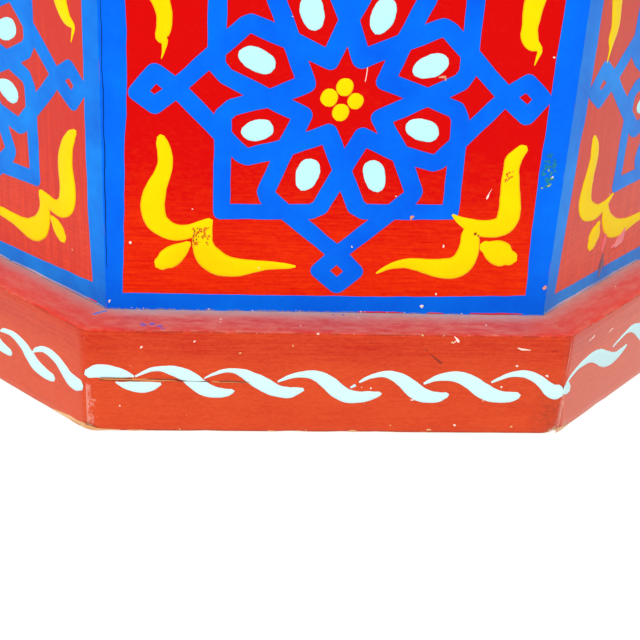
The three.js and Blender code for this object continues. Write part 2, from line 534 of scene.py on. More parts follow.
def roundedSection(rIn, rOut, zLow, zHigh, arris, spacing):
    # a board's section: its corners rounded by arris, and points between them
    middles = [(r + arris * (1 if r == rIn else -1), z + arris * (1 if z == zLow else -1))
               for r, z in ((rIn, zLow), (rOut, zLow), (rOut, zHigh), (rIn, zHigh))]
    points = []
    for i, (r, z) in enumerate(middles):
        for step in range(board["arrisSteps"] + 1):
            angle = math.radians(180 + 90 * i) + math.radians(90) * step / board["arrisSteps"]
            points.append((r + arris * math.cos(angle), z + arris * math.sin(angle)))
        first = points[-1]
        nextR, nextZ = middles[(i + 1) % 4]
        last = (first[0], nextZ) if i % 2 else (nextR, first[1])
        count = max(1, round(math.dist(first, last) / spacing))
        for t in (step / count for step in range(1, count)):
            points.append((first[0] + (last[0] - first[0]) * t, first[1] + (last[1] - first[1]) * t))
    return points


def wear(u, r, z, seed, worn):
    # how far a point of a band board is rubbed back towards the stool's middle
    toMitre = r * flare - abs(u)
    drop = board["cornerDrop"] * max(0.0, 1 - toMitre / board["cornerRound"]) ** 2
    if worn and z < board["brokenBelow"]:
        toCorner = max(0.0, toMitre) + max(0.0, z) * 1.1
        lump = 0.75 + 0.5 * noise.noise(Vector((u * 0.25, z * 0.25, seed * 5.0)))
        drop += board["brokenDrop"] * max(0.0, 1 - toCorner / (board["brokenCorner"] * lump)) ** 1.5
        dent = max(0.0, noise.noise(Vector((u * 0.11, seed * 3.0, 0.5))) - 0.1)
        drop += board["footDents"] * dent * max(0.0, 1 - z / board["dentHeight"])
    return drop


def boardOf(name, rings, number, sharp, material):
    # a closed board through rings of points, each with the place that its paint goes by
    bm = bmesh.new()
    placeLayer = bm.verts.layers.float_vector.new("boardPlace")
    numberLayer = bm.verts.layers.float.new("boardNumber")
    made = []
    for ring in rings:
        made.append([bm.verts.new(at) for at, place in ring])
        for vertex, (at, place) in zip(made[-1], ring):
            vertex[placeLayer] = place
            vertex[numberLayer] = number
    size = len(made[0])
    for a, b in zip(made, made[1:]):
        for i in range(size):
            bm.faces.new((a[i], a[(i + 1) % size], b[(i + 1) % size], b[i]))
    bm.faces.new(made[0])
    bm.faces.new(made[-1])
    bmesh.ops.recalc_face_normals(bm, faces=bm.faces)
    return pieceOf(name, meshOf(bm, name, sharp), material)


def mitredBoard(name, side, section, material, seed=None, worn=False):
    # seed is for the wear at the mitres; a worn board has broken foot corners too
    def half(r):
        return r * flare - board["gap"] / 2

    rOut = max(p[0] for p in section)
    widest = half(rOut)
    inner = widest - board["nearEnds"][-1]
    count = round(2 * inner / board["spacing"])
    places = [-widest + d for d in board["nearEnds"]]
    places += [-inner + 2 * inner * i / count for i in range(1, count)]
    places += [widest - d for d in reversed(board["nearEnds"])]
    turn = sideTurn(side)
    rings = []
    for at in places:
        rings.append([])
        for r, z in section:
            u = at / widest * half(r)
            wornTo = r
            if seed is not None and r > rOut - board["wornDepth"]:
                wornTo -= wear(u, r, z, side + seed, worn)
            # both boards of a corner wear back along the mitre, so they still meet
            u = at / widest * half(wornTo)
            rings[-1].append((turn @ (Vector((u, -wornTo, z)) * mm), Vector((u, r, z)) * mm))
    return boardOf(name, rings, side, board["sharp"], material)


bandSections = [roundedSection(panelFace, bandFace, low, high, board["bandArris"], board["spacing"] / 2)
                for low, high in ((0, ledge), (friezeFoot, boxTop))]
panelSection = roundedSection(panelBack, panelFace, panelLow.z / mm, boxTop, board["panelArris"],
                              board["panelSpacing"])
for side in sides:
    panel = mitredBoard(f"panelBoard_{side}", side, panelSection, panelPaint)
    keep(panel, "panel_paint", f"side_panel_{side}")
    plinth = mitredBoard(f"plinthBoard_{side}", side, bandSections[0], bandPaint, 0, True)
    keep(plinth, "band_paint", f"plinth_board_{side}")
    frieze = mitredBoard(f"friezeBoard_{side}", side, bandSections[1], friezePaint, -20)
    keep(frieze, "band_paint", f"frieze_board_{side}")
print("boards made")

seat = {
    "planks": 3,
    "arris": 6.0,
    "seamArris": 0.9,
    "seamGap": 0.3,
    "steps": 6,
    "sharp": 40,
    "firstNumber": 11,
}
plankPitch = 2 * seatFace / seat["planks"]


def plankOutline(inset, seamInset, index):
    apothem = seatFace - inset
    half = apothem * flare
    low = -seatFace + plankPitch * index + seat["seamGap"] / 2 + seamInset
    high = low + plankPitch - seat["seamGap"] - 2 * seamInset
    if index == 1:
        return [(-apothem, low), (apothem, low), (apothem, high), (-apothem, high)]
    flip = 1 if index == 2 else -1
    seam = low if index == 2 else high
    points = [(-apothem, seam), (apothem, seam), (apothem, half * flip), (half, apothem * flip),
              (-half, apothem * flip), (-apothem, half * flip)]
    return points[::flip]


def seatPlank(index):
    # levels of the rounded edge: height, and the share of the arris that is cut away
    angles = [math.radians(90) * step / seat["steps"] for step in range(seat["steps"] + 1)]
    levels = [(seatFoot + seat["arris"] * (1 - math.cos(a)), 1 - math.sin(a)) for a in angles]
    levels += [(seatTop - seat["arris"] + seat["arris"] * math.sin(a), 1 - math.cos(a)) for a in angles]
    rings = []
    for z, back in levels:
        outline = plankOutline(seat["arris"] * back, seat["seamArris"] * back, index)
        ring = [Vector((x, y, z)) * mm for x, y in outline]
        rings.append(list(zip(ring, ring)))
    return boardOf(f"seatPlank_{index + 1}", rings, seat["firstNumber"] + index, seat["sharp"], seatPaint)


for index in range(seat["planks"]):
    keep(seatPlank(index), "seat_paint", f"seat_plank_{index + 1}")
print("seat made")


# brush paints
# The same enamel brushed on thick, so a film stands proud of the board and its edge is rounded.
film = {
    "ior": 1.1,
    "broad": (38.0, 3.0, 0.6),
    "fine": (420.0, 4.0, 0.7),
    "streaks": (60.0, 7.0, 1.0),
    "rimFrom": 0.78,
    "rimShare": 0.7,
    "dustShare": 0.8,
    "relief": 0.00008,
}


def brushedFilm(name, deep, bright, roughness, veil=0.6, variety=0.75, veilColour="#ffffff", dusty=None,
                rim=None, streak=False):
    material, tree, shader = startMaterial(name, roughness, film["ior"], veil, veilColour)
    place = signal(tree, "ShaderNodeTexCoord", None, "Object")
    fine = place.grain(*film["fine"])
    broad = place.grain(*film["broad"]) * variety + (0.35 - variety * 0.6)
    colour = (fine * 0.3 + broad).clamped().blend(deep, bright)
    if dusty:
        # dust and stray red along the foot of the film, where it meets the ledge
        frayed = fine * 0.003 + place.parts()[2]
        dust = frayed.ramp(ledge * mm + 0.0020, ledge * mm + 0.0014, 0.0, film["dustShare"], "LINEAR")
        colour = dust.blend(colour, dusty)
    stroke = signal(tree, "ShaderNodeAttribute", None, "Vector", attribute_name="strokePlace")
    if rim:
        # the stroke is thin at its edge, where the ground shows through
        thin = abs(stroke.parts()[0]).ramp(film["rimFrom"], 1.0, 0.0, film["rimShare"], "LINEAR")
        colour = thin.blend(colour, rim)
    colour.feed(shader, "Base Color")
    # bristle lines run with the stroke
    height = stroke.stretched(film["streaks"]).grain() + fine if streak else fine
    height.bump(shader, 0.6, film["relief"])
    return material


blueFilm = {"veil": 0.9, "dusty": "#a08c8e", "veilColour": "#c8ffff"}
bluePaint = brushedFilm("brushedBlueEnamel", "#005ae8", "#0080ff", 0.36, variety=1.3, **blueFilm)
# painted sheen: a paler, greener copy of the blue for every side but the front
sheenBlue = brushedFilm("blueEnamelPaintedSheen", "#0066dc", "#089aff", 0.45, variety=1.6, **blueFilm)
yellowPaint = brushedFilm("brushedYellowEnamel", "#ffd000", "#ffee00", 0.38, 0.2, 1.0, rim="#f09c00",
                          streak=True)
palePaint = brushedFilm("brushedPaleBlueEnamel", "#ccfbff", "#e0ffff", 0.4, 0.15, streak=True)
dabPaint = brushedFilm("brushedPaleBlueEnamelThick", "#b4faff", "#ccffff", 0.4, 0.2, streak=True)
frostPaint = brushedFilm("dustInTheAngle", "#8c8cb8", "#dcb8b4", 0.7, variety=2.4)
chipWhite = brushedFilm("whitePaintSpecks", "#f6dcc8", "#ffffff", 0.5, variety=2.0)
woodLine = brushedFilm("bareWoodInCrack", "#c8702e", "#e8b070", 0.6)
# painted shadow for the crack's groove
crackShade = brushedFilm("paintedShadowInCrack", "#6a2014", "#8c3a26", 0.7)
navyLine = brushedFilm("shadowInJoint", "#06204e", "#0c3070", 0.7, 0.2)
tanPaint = brushedFilm("bareWoodAtFoot", "#d89858", "#fce0b4", 0.65, variety=2.2)
paleRub = brushedFilm("rubbedPaleArris", "#e08878", "#f4b8a8", 0.6, variety=2.0)
pinkPaint = brushedFilm("strayPinkPaint", "#ea6c70", "#f8a8a8", 0.5, variety=2.0)
smearBrown = brushedFilm("brownSmear", "#7c5466", "#b08478", 0.6, variety=2.2)
freshRed = brushedFilm("strayRedPaint", "#d01400", "#f03010", 0.45)
scuffLine = brushedFilm("darkScuff", "#8e3022", "#a8442e", 0.7)
orangeSpeck = brushedFilm("wornThroughYellow", "#dc6410", "#f49a08", 0.5, variety=2.0)
brownSpeck = brushedFilm("dirtInYellow", "#8c4010", "#c85c10", 0.5, variety=1.6)
greenSpeck = brushedFilm("strayGreenPaint", "#0c76a4", "#2c9898", 0.5, variety=2.0)
limeSpeck = brushedFilm("strayLimePaint", "#a8b818", "#c8d430", 0.5)
tanSpeck = brushedFilm("chipsToWood", "#d8a060", "#f0cc90", 0.6)
violetSpeck = brushedFilm("strayVioletPaint", "#7446b0", "#a068b8", 0.5)
salmonSpeck = brushedFilm("straySalmonPaint", "#e88c68", "#f0b090", 0.5)


# blue strap-work
lattice = {
    "height": 0.16,
    "shoulder": 0.45,
    "softEdge": 0.16,
    "sink": 0.05,
    "step": 1.7,
    "arcSteps": 7,
    "lap": 0.03,
    "overlap": 2,
    "edgeStep": 3,
    "innerStep": 2.5,
    "sharp": 18,
}
# how smooth noise moves points: its length, reach, step from seed to seed, and shift from u to z
strays = {
    "pattern": (38, 1.6, 4.7, (9.1, 3.3, 0)),
    "flourish": (45, 2.4, 2.3, (5.5, 7.7, 0)),
    "film": (7.0, 0.28, 3.7, (0, 0, 40.5)),
}
# each strap is a brush stroke: (u, z, width)
straps = [
    [(9.3, 122, 7.4), (2, 108.2, 7.4), (-5.6, 92.6, 7), (-9, 90.6, 6.5), (-44.3, 89.8, 6.4)],
    [(-4, 123, 7.4), (2, 108.2, 7.4), (8.4, 93.2, 7), (11.5, 91, 6.8), (46.4, 91.7, 6.5)],
    [(-13.3, 142, 7.2), (-27.2, 135.9, 7.2), (-40.8, 132.2, 6.6), (-44.3, 129, 6.6), (-44.3, 89.8, 6.6)],
    [(-14, 129.7, 7.2), (-27.2, 135.9, 7.2), (-43.5, 144, 6.6), (-47, 148, 7), (-46.8, 184.5, 7)],
    [(16.3, 143.8, 7.2), (33, 138.2, 7.2), (44.4, 133.6, 6.8), (46.3, 130, 7), (46.4, 91.7, 6.8)],
    [(15.4, 129.5, 7.2), (33, 138.2, 7.2), (45, 144.4, 7), (47.4, 148, 6.8), (47.4, 184, 6.8)],
    [(6.8, 152, 7.2), (1, 166.4, 7.4), (-6.5, 182, 7), (-9.5, 184, 6.5), (-46.8, 184.5, 6.5)],
    [(-5, 151.2, 7.2), (1, 166.4, 7.4), (9, 182, 7), (12, 184, 6.8), (47.4, 184, 6.5)],
    [(-14, 129.7, 7.2), (-20.4, 116, 7.2), (-27.2, 98.6, 7), (-26.4, 96.2, 7), (2.2, 72.6, 6.8)],
    [(-4, 123, 7.2), (-20.4, 116.6, 7.2), (-34.6, 112.6, 7), (-37, 113.4, 7), (-61.3, 138.3, 6.8)],
    [(15.4, 129.5, 7.2), (24, 115.8, 7.2), (31, 100, 7), (29.8, 97.6, 7), (2.2, 72.6, 6.8)],
    [(9.3, 122, 7.2), (24, 115.4, 7.2), (37.6, 112, 7), (39.6, 112.8, 7), (62.6, 138.8, 6.8)],
    [(6.8, 152, 7.2), (22.3, 158.7, 7.2), (36.4, 165, 7), (39, 163.6, 7), (62.6, 140, 6.8)],
    [(16.3, 143.8, 7.2), (22.3, 158.7, 7.2), (29.6, 175, 7), (28.6, 177.4, 7), (1, 201.5, 6.8)],
    [(-5, 151.2, 7.2), (-19.6, 158, 7.2), (-34.4, 164, 7), (-36.8, 163, 7), (-61.3, 139.6, 6.8)],
    [(-13.3, 142, 7.2), (-19.6, 158, 7.2), (-27, 176, 7), (-26, 178, 7), (1, 201.5, 6.8)],
    [(2.2, 72.6, 6.8), (9.9, 65, 6.6), (3, 58.2, 6.4), (-5, 65.2, 6.6), (2.2, 72.6, 6.8)],
    [(-61.3, 138.6, 6.8), (-69.8, 144.8, 6.6), (-76.3, 136.8, 6.8), (-69.8, 132, 6.6), (-61.3, 138.6, 6.8)],
    [(62.6, 139.4, 6.8), (70.8, 145.2, 6.6), (77.4, 139, 6.6), (72.2, 131.8, 6.6), (62.6, 139.4, 6.8)],
    [(1, 201.5, 6.8), (8.5, 209, 6.6), (1.5, 215.4, 6.4), (-6, 208.4, 6.6), (1, 201.5, 6.8)],
]
# inner edges of the blue frame round a panel
frameEdges = {
    "left": [(-83.2, 54), (-82.3, 80), (-81.3, 120), (-80.3, 128), (-79.8, 160), (-80.6, 195), (-81.4, 221)],
    "right": [(81.5, 56), (80.3, 80), (80, 110), (80.5, 160), (81.2, 190), (80.9, 221)],
    "foot": [(-84, 53.8), (-10, 53.8), (20, 54), (50, 54.5), (84, 55.6)],
    "head": [(-84, 221.6), (-30, 221.0), (25, 221.5), (84, 220.4)],
}
# how each side's pattern differs from the front one: mirrored, moved, scaled, and pulled near some points
hand = {
    1: {},
    2: {"move": (1.6, 2.6), "pulls": [(-70, 140, 12, -2.0, 0.4)]},
    3: {"mirror": True, "move": (-0.8, 1.2), "scale": 1.01, "wander": 1.1},
    4: {"move": (1.2, -0.6), "scale": 0.985, "wander": 1.2},
    5: {"mirror": True, "move": (0.4, 0.9), "wander": 1.2},
    6: {"move": (-1.5, 0.5), "scale": 1.012, "wander": 1.1},
    7: {"mirror": True, "move": (0.9, -1.0), "scale": 0.99, "wander": 1.2, "seed": 47},
    8: {"move": (1.0, -1.4), "pulls": [(72, 138, 13, 0.6, -2.6)]},
}
patternMiddle = (1.0, 137.5)


def strayed(u, z, kind, seed, share=1.0):
    length, reach, step, shift = strays[kind]
    at = Vector((u / length, z / length, seed * step))
    return u + share * reach * noise.noise(at), z + share * reach * noise.noise(at + Vector(shift))


def byHand(u, z, side):
    # the place that the front panel's point has on another side's freehand copy
    made = hand[side]
    middleU, middleZ = patternMiddle
    if made.get("mirror"):
        u = 2 * middleU - u
    scale = made.get("scale", 1.0)
    shift = made.get("move", (0, 0))
    u = middleU + (u - middleU) * scale + shift[0]
    z = middleZ + (z - middleZ) * scale + shift[1]
    for pu, pz, reach, du, dz in made.get("pulls", ()):
        near = math.exp(-((u - pu) ** 2 + (z - pz) ** 2) / reach ** 2)
        u, z = u + du * near, z + dz * near
    return strayed(u, z, "pattern", side, made.get("wander", 0.0))


def capsule(p, q, a, b):
    # outline of a straight stroke from p to q with half widths a and b, anticlockwise
    p, q = Vector(p), Vector(q)
    run = q - p
    heading = math.atan2(run.y, run.x)
    steps = lattice["arcSteps"]
    outline = []
    for centre, radius, other, width, start in ((q, b, p, a, heading - math.pi / 2),
                                                (p, a, q, b, heading + math.pi / 2)):
        for i in range(steps + 1):
            angle = start + math.pi * i / steps
            outline.append(centre + Vector((math.cos(angle), math.sin(angle))) * radius)
        side = start + math.pi
        last = other + Vector((math.cos(side), math.sin(side))) * width
        outline += filled([outline[-1], last], lattice["step"])[1:-1]
    return outline


def capsules(strap):
    return [capsule(a[:2], b[:2], a[2] / 2, b[2] / 2) for a, b in zip(strap, strap[1:])]


def filled(line, step):
    # points every step or so along a line
    out = []
    for a, b in zip(line, line[1:]):
        count = max(1, round(math.dist(a, b) / step))
        out += [Vector(a).lerp(Vector(b), i / count) for i in range(count)]
    return out + [Vector(line[-1])]


def madeFaces(result):
    return [g for g in result["geom"] if isinstance(g, bmesh.types.BMFace)]


def raiseFaces(faces, height):
    for vertex in {v for f in faces for v in f.verts}:
        vertex.co.z += height


def refill(bm, faces):
    # fills the outline of flat faces afresh, because moved points fold thin triangles over
    old = set(faces)
    rim = [edge for edge in bm.edges if sum(face in old for face in edge.link_faces) == 1]
    bmesh.ops.delete(bm, geom=faces, context="FACES_KEEP_BOUNDARY")
    rim = [edge for edge in rim if edge.is_valid]
    fill = bmesh.ops.triangle_fill(bm, edges=rim, use_beauty=True, use_dissolve=False, normal=(0, 0, 1))
    return madeFaces(fill)


def faceOutward(bm):
    # turns each island so that its largest upper face looks up
    bmesh.ops.recalc_face_normals(bm, faces=bm.faces)
    left = set(bm.faces)
    for first in bm.faces[:]:
        if first not in left:
            continue
        left.discard(first)
        island = [first]
        for face in island:
            for edge in face.edges:
                for other in edge.link_faces:
                    if other in left:
                        left.discard(other)
                        island.append(other)
        upper = max(island, key=lambda f: f.calc_area() if f.calc_center_median().z > 0 else 0)
        if upper.normal.z < 0:
            bmesh.ops.reverse_faces(bm, faces=island)


def filmMesh(name, outlines, toPlace, seed, strip=()):
    # outlines in mm on a flat face, joined into one film and raised; toPlace carries it to its board.
    # strip keeps only what lies between two heights, where a film breaks at a seam
    points, loops = [], []
    for outline in outlines:
        loops.append(list(range(len(points), len(points) + len(outline))))
        points += [Vector(p) for p in outline]
    found, edges, faces, oldVerts, oldEdges, oldFaces = delaunay_2d_cdt(points, [], loops, 0, 1e-4)
    bm = bmesh.new()
    used = {}
    for face, source in zip(faces, oldFaces):
        if not source:
            continue
        for i in face:
            if i not in used:
                used[i] = bm.verts.new((*strayed(*found[i], "film", seed), -lattice["sink"]))
        bm.faces.new([used[i] for i in face])
    refill(bm, bm.faces[:])
    for limit, way in zip(strip, (1, -1)):
        bmesh.ops.bisect_plane(bm, geom=bm.verts[:] + bm.edges[:] + bm.faces[:], plane_co=(0, limit, 0),
                               plane_no=(0, way, 0), clear_inner=True)
    tops = madeFaces(bmesh.ops.extrude_face_region(bm, geom=list(bm.faces), use_keep_orig=True))
    raiseFaces(tops, lattice["height"] * lattice["shoulder"] + lattice["sink"])
    bmesh.ops.recalc_face_normals(bm, faces=bm.faces)
    bmesh.ops.inset_region(bm, faces=tops, thickness=lattice["softEdge"], depth=0, use_even_offset=True)
    raiseFaces(refill(bm, tops), lattice["height"] * (1 - lattice["shoulder"]))
    faceOutward(bm)
    for vertex in bm.verts:
        vertex.co = toPlace(vertex.co)
    return meshOf(bm, name, lattice["sharp"])


def sideLattice(side):
    outlines = []
    for strap in straps:
        outlines += capsules([(*byHand(u, z, side), w) for u, z, w in strap])
    mirror = hand[side].get("mirror")
    drift = hand[side].get("move", (0, 0))[0] * 0.4
    edge = panelFace * flare + lattice["lap"]
    low, high = ledge - lattice["overlap"], friezeFoot + lattice["overlap"]

    def across(key):
        line = frameEdges[key]
        return [(-u, z) for u, z in reversed(line)] if mirror else line

    def upright(key):
        # an inner edge at one corner, from the ledge to the frieze
        line = [(u + drift, z) for u, z in frameEdges[key]]
        if mirror:
            line = [(drift - u, z) for u, z in frameEdges["left" if key == "right" else "right"]]
        return [(line[0][0], low)] + line + [(line[-1][0], high)]

    for outer, inner in (([(-edge, high), (-edge, low)], upright("left")),
                         ([(edge, low), (edge, high)], upright("right")[::-1]),
                         ([(-86, low), (86, low)], across("foot")[::-1]),
                         ([(86, high), (-86, high)], across("head"))):
        outlines.append(filled(outer, lattice["edgeStep"]) + filled(inner, lattice["innerStep"]))
    turn = sideTurn(side)
    name = f"blueStrapwork_{side}"
    mesh = filmMesh(name, outlines, lambda p: turn @ (Vector((p.x, -(panelFace + p.z), p.y)) * mm),
                    hand[side].get("seed", side))
    # the sides other than the front get the blue with painted sheen
    return pieceOf(name, mesh, bluePaint if side == 1 else sheenBlue)


for side in sides:
    keep(sideLattice(side), "blue_paint")
print("blue strap-work painted")


# brush strokes
def startTree(name, source, numbers, material, result):
    # an empty geometry tree with its sockets, and its inputs as signals
    tree = bpy.data.node_groups.new(name, "GeometryNodeTree")
    tree.is_modifier = True
    kinds = {source: "Geometry", **dict.fromkeys(numbers, "Float"), material: "Material"}
    for label, kind in kinds.items():
        tree.interface.new_socket(label, in_out="INPUT", socket_type="NodeSocket" + kind)
    tree.interface.new_socket(result, in_out="OUTPUT", socket_type="NodeSocketGeometry")
    given = put(tree, "NodeGroupInput").outputs
    return tree, {label: Signal(tree, given[label]) for label in kinds}


def endTree(shape, material, result, smooth=True):
    real = shape.shaped("RealizeInstances")
    if smooth:
        real = real.shaped("SetShadeSmooth", {"Shade Smooth": True})
    put(shape.tree, "NodeGroupOutput", {result: real.shaped("SetMaterial", {"Material": material})})
    return shape.tree


def stored(tree, name, kind="FLOAT"):
    return signal(tree, "GeometryNodeInputNamedAttribute", {"Name": name}, "Attribute", data_type=kind)


brush = {
    "spacing": 0.9,
    "height": 0.30,
    "wander": 0.55,
    "wanderLength": 4.5,
    "sectionPoints": 14,
    "layers": 5.0,
    "layerStep": 0.00003,
    "sink": 0.00004,
    "roundFrom": 0.7,
    "roundSteps": (0.45, 0.75, 0.93, 1.0),
    "finest": 0.14,
    "tip": 0.25,
}


def brushStrokeTree():
    # sweeps a half-lens of paint along each curve, as wide as the curve's radius, and stands it on a face
    numbers = ("Point Spacing", "Paint Height", "Wander", "Wander Length", "Seed", "Tilt", "Side Turn",
               "Face Height")
    tree, given = startTree("brushStroke", "Strokes", numbers, "Paint", "Film")
    smooth = given["Strokes"].shaped("CurveSplineType", spline_type="CATMULL_ROM")
    dense = smooth.shaped("ResampleCurve", {"Length": given["Point Spacing"]}, mode="LENGTH")
    flat = dense.shaped("SetCurveNormal", mode="Z_UP")
    order = signal(tree, "GeometryNodeCurveOfPoint", None, "Curve Index")
    length = signal(tree, "GeometryNodeSplineParameter", None, "Length")
    paths = flat.noted("strokeOrder", order).noted("strokeLength", length)
    size = {"Resolution": brush["sectionPoints"], "Radius": 1.0}
    ring = signal(tree, "GeometryNodeCurvePrimitiveCircle", size)
    ringAcross, ringUp, ringAlong = signal(tree, "GeometryNodeInputPosition").parts()
    section = ring.noted("strokeLift", ringUp.larger(0.0)).noted("strokeAcross", ringAcross)
    radius = signal(tree, "GeometryNodeInputRadius")
    swept = paths.shaped("CurveToMesh", {"Profile Curve": section, "Scale": radius, "Fill Caps": True})
    x, y, z = signal(tree, "GeometryNodeInputPosition").parts()
    strayAt = combined(tree, x / given["Wander Length"], y / given["Wander Length"], given["Seed"])
    strayX, strayY, strayZ = strayAt.grain(output="Color").parts()
    order = stored(tree, "strokeOrder")
    layer = order.calc("MODULO", brush["layers"]) * brush["layerStep"]
    height = stored(tree, "strokeLift") * (given["Paint Height"] + layer)
    moved = combined(tree, (strayX - 0.5) * given["Wander"] + x, (strayY - 0.5) * given["Wander"] + y,
                     height - brush["sink"])
    paint = swept.shaped("FlipFaces").shaped("SetPosition", {"Position": moved})
    strokePlace = combined(tree, stored(tree, "strokeAcross"), stored(tree, "strokeLength"), order)
    paint = paint.noted("strokePlace", strokePlace, "FLOAT_VECTOR")
    paint = paint.shaped("Transform", {"Translation": combined(tree, 0.0, 0.0, given["Face Height"])})
    paint = paint.shaped("Transform", {"Rotation": combined(tree, given["Tilt"])})
    paint = paint.shaped("Transform", {"Rotation": combined(tree, 0.0, 0.0, given["Side Turn"])})
    return endTree(paint, given["Paint"], "Film")


strokeTree = brushStrokeTree()


def runTree(source, tree, values, name, material):
    # runs a node tree on source with named inputs and returns the plain mesh object
    modifier = source.modifiers.new("made", "NODES")
    modifier.node_group = tree
    for item in tree.interface.items_tree:
        if item.item_type == "SOCKET" and item.in_out == "INPUT" and item.name in values:
            modifier[item.identifier] = values[item.name]
    bpy.context.view_layer.update()
    depsgraph = bpy.context.evaluated_depsgraph_get()
    mesh = bpy.data.meshes.new_from_object(source.evaluated_get(depsgraph), depsgraph=depsgraph)
    mesh.name = name
    bpy.data.objects.remove(source)
    return pieceOf(name, mesh, material)


def roundEnd(end, nextTo):
    # a wide end gets the half circle that a loaded brush leaves
    half = end.z / 2
    if half < brush["roundFrom"]:
        return []
    away = Vector((end.x - nextTo.x, end.y - nextTo.y)).normalized()
    widths = [2 * half * math.sqrt(1 - t * t) if t < 1 else brush["tip"] for t in brush["roundSteps"]]
    return [Vector((end.x + away.x * half * t, end.y + away.y * half * t, width))
            for t, width in zip(brush["roundSteps"], widths)]


def brushStrokes(name, strokes, paint, seed, side=None, face=None, height=None, wander=None, spacing=None):
    curve = bpy.data.curves.new(name, "CURVE")
    curve.dimensions = "3D"
    for stroke in strokes:
        line = [Vector(p) for p in stroke]
        points = roundEnd(line[0], line[1])[::-1] + line + roundEnd(line[-1], line[-2])
        spline = curve.splines.new("POLY")
        spline.points.add(len(points) - 1)
        for point, (u, z, width) in zip(spline.points, points):
            point.co = (u * mm, z * mm, 0, 1)
            point.radius = max(width, brush["finest"]) / 2 * mm
    values = {
        "Point Spacing": (spacing or brush["spacing"]) * mm,
        "Paint Height": (height or brush["height"]) * mm,
        "Wander": (wander or brush["wander"]) * mm,
        "Wander Length": brush["wanderLength"] * mm,
        "Seed": float(seed),
        "Tilt": math.radians(90) if side else 0.0,
        "Side Turn": math.radians(45 * (side - 1)) if side else 0.0,
        "Face Height": face * mm,
        "Paint": paint,
    }
    return runTree(linked(name + "Path", curve), strokeTree, values, name, paint)


# yellow flourishes as (u, z, width): two horns and a leaf in each corner
flourishes = {
    "frontLeft": [
        [(-67.6, 119, 3.4), (-67.2, 117.3, 4.8), (-66.3, 113.5, 5.8), (-66.1, 109, 6.1), (-67.3, 104.5, 6.8),
         (-69.2, 100, 8), (-70.6, 95.5, 9.4), (-71, 90.5, 9.8), (-69.6, 85.2, 9.2), (-66.2, 82.1, 8.1),
         (-62.5, 80.6, 7.4), (-58.5, 80.7, 6.6), (-54.5, 82.2, 5.6), (-51, 84.2, 4.4), (-49.2, 85.3, 3.4)],
        [(-49.8, 84.6, 4.6), (-51.2, 80.8, 7.6), (-51.6, 77, 8.4), (-50.8, 73.4, 9.5), (-48.8, 70.2, 10.8),
         (-45.3, 67.4, 10.6), (-41.5, 66.2, 9.5), (-36.5, 65.9, 8), (-31, 66.5, 5.9), (-26, 67, 4.2),
         (-21, 66.9, 3.1), (-17, 66.8, 2.4), (-14.2, 66.8, 1)],
        [(-57.4, 75.6, 3), (-60, 73.3, 6.6), (-63, 70.8, 8.8), (-65.8, 68.6, 8.6), (-67.4, 67.4, 6.6)],
    ],
    "frontRight": [
        [(72.0, 118.4, 4.6), (70.6, 116.6, 5.8), (69.0, 113.8, 7.0), (68.7, 110.8, 6.5),
         (68.8, 107.5, 7.1), (69.1, 103, 7.9),
         (69.7, 98, 8.8), (70.1, 93, 9.4), (69.6, 88.8, 9.5), (67.4, 86.1, 9.1), (62.8, 85, 8),
         (58.5, 85.3, 7.2), (54, 86.8, 5.4), (50.5, 88.4, 3.4), (47.2, 90.8, 1)],
        [(54.8, 85, 5), (55.2, 82, 7.4), (55.6, 78, 8.5), (55.1, 74, 9.3), (54.1, 71, 9.8),
         (52.4, 68.7, 10.2),
         (49.2, 67.2, 10), (44.5, 67.1, 9), (39.5, 67.9, 7.2), (34.5, 68.7, 5.6), (30, 69, 4.4),
         (26, 68.2, 3.4),
         (22.8, 66.9, 2.2), (20.3, 65.5, 1.5), (18.6, 64.5, 0.7)],
        [(62.4, 77.0, 5.6), (64.6, 76.0, 9.0), (67.2, 74.8, 11.0), (70.3, 73.2, 10.6), (72.2, 72.5, 7.4)],
    ],
    "leftSide": [
        [(74.1, 116.8, 2.8), (72, 114.8, 5.4), (69.4, 110.5, 7.2), (67.7, 105, 8.9), (67.5, 100, 9.8),
         (68.2, 94, 10.4), (68, 88.5, 10.4), (66.4, 84.3, 9.6), (62.8, 81.8, 8.2), (58.5, 81.7, 6.6),
         (54.5, 83.4, 5.6), (51.4, 84.8, 3.8)],
        [(51.5, 84, 4.6), (52.6, 80.5, 6.4), (52.6, 77, 7.6), (51.2, 72.9, 9.2), (48.5, 69.2, 10.6),
         (43.7, 66.6, 10.6), (38.5, 66.4, 8.4), (33.5, 67.2, 6.4), (28, 67.9, 5.3), (22, 68.3, 4.6),
         (17, 67.6, 3.2), (13.5, 66.5, 1)],
        [(57.5, 75.8, 3), (59.3, 74.3, 5.8), (61.5, 71.8, 7.2), (63, 69.9, 6)],
    ],
    "rightSide": [
        [(-69.4, 119, 3.2), (-67.8, 115.6, 6), (-66.7, 110.5, 6.8), (-67.8, 104, 7.6), (-68.8, 97.5, 9.2),
         (-68.7, 92, 10.4), (-66.6, 88, 9.8), (-62, 85.3, 8.8), (-56.5, 84, 7), (-50.5, 85.2, 5),
         (-46.5, 87.3, 3), (-44, 89.1, 1)],
        [(-49, 84, 4.6), (-47.4, 79.5, 7), (-44, 75.2, 8.8), (-39.5, 72, 9.6), (-34.5, 70.4, 9.2),
         (-28, 69.6, 7.8),
         (-21, 70, 6), (-14, 70.2, 4.6), (-8, 69.8, 2.8), (-4, 69.3, 0.8)],
        [(-53.4, 77, 4), (-54.2, 75, 8.4), (-55.2, 72.4, 10.4), (-56, 70, 8.4)],
    ],
}
mirrorHeight = 275.0
pointedTip = [(0.3, -6.2, 0.4), (1.1, -3.2, 1.3), (1.5, -0.3, 2.6)]


def mirrored(strokes):
    # a right-hand corner's strokes mirrored to the left, or left to right
    return [[(-u, z, w) for u, z, w in stroke] for stroke in strokes]


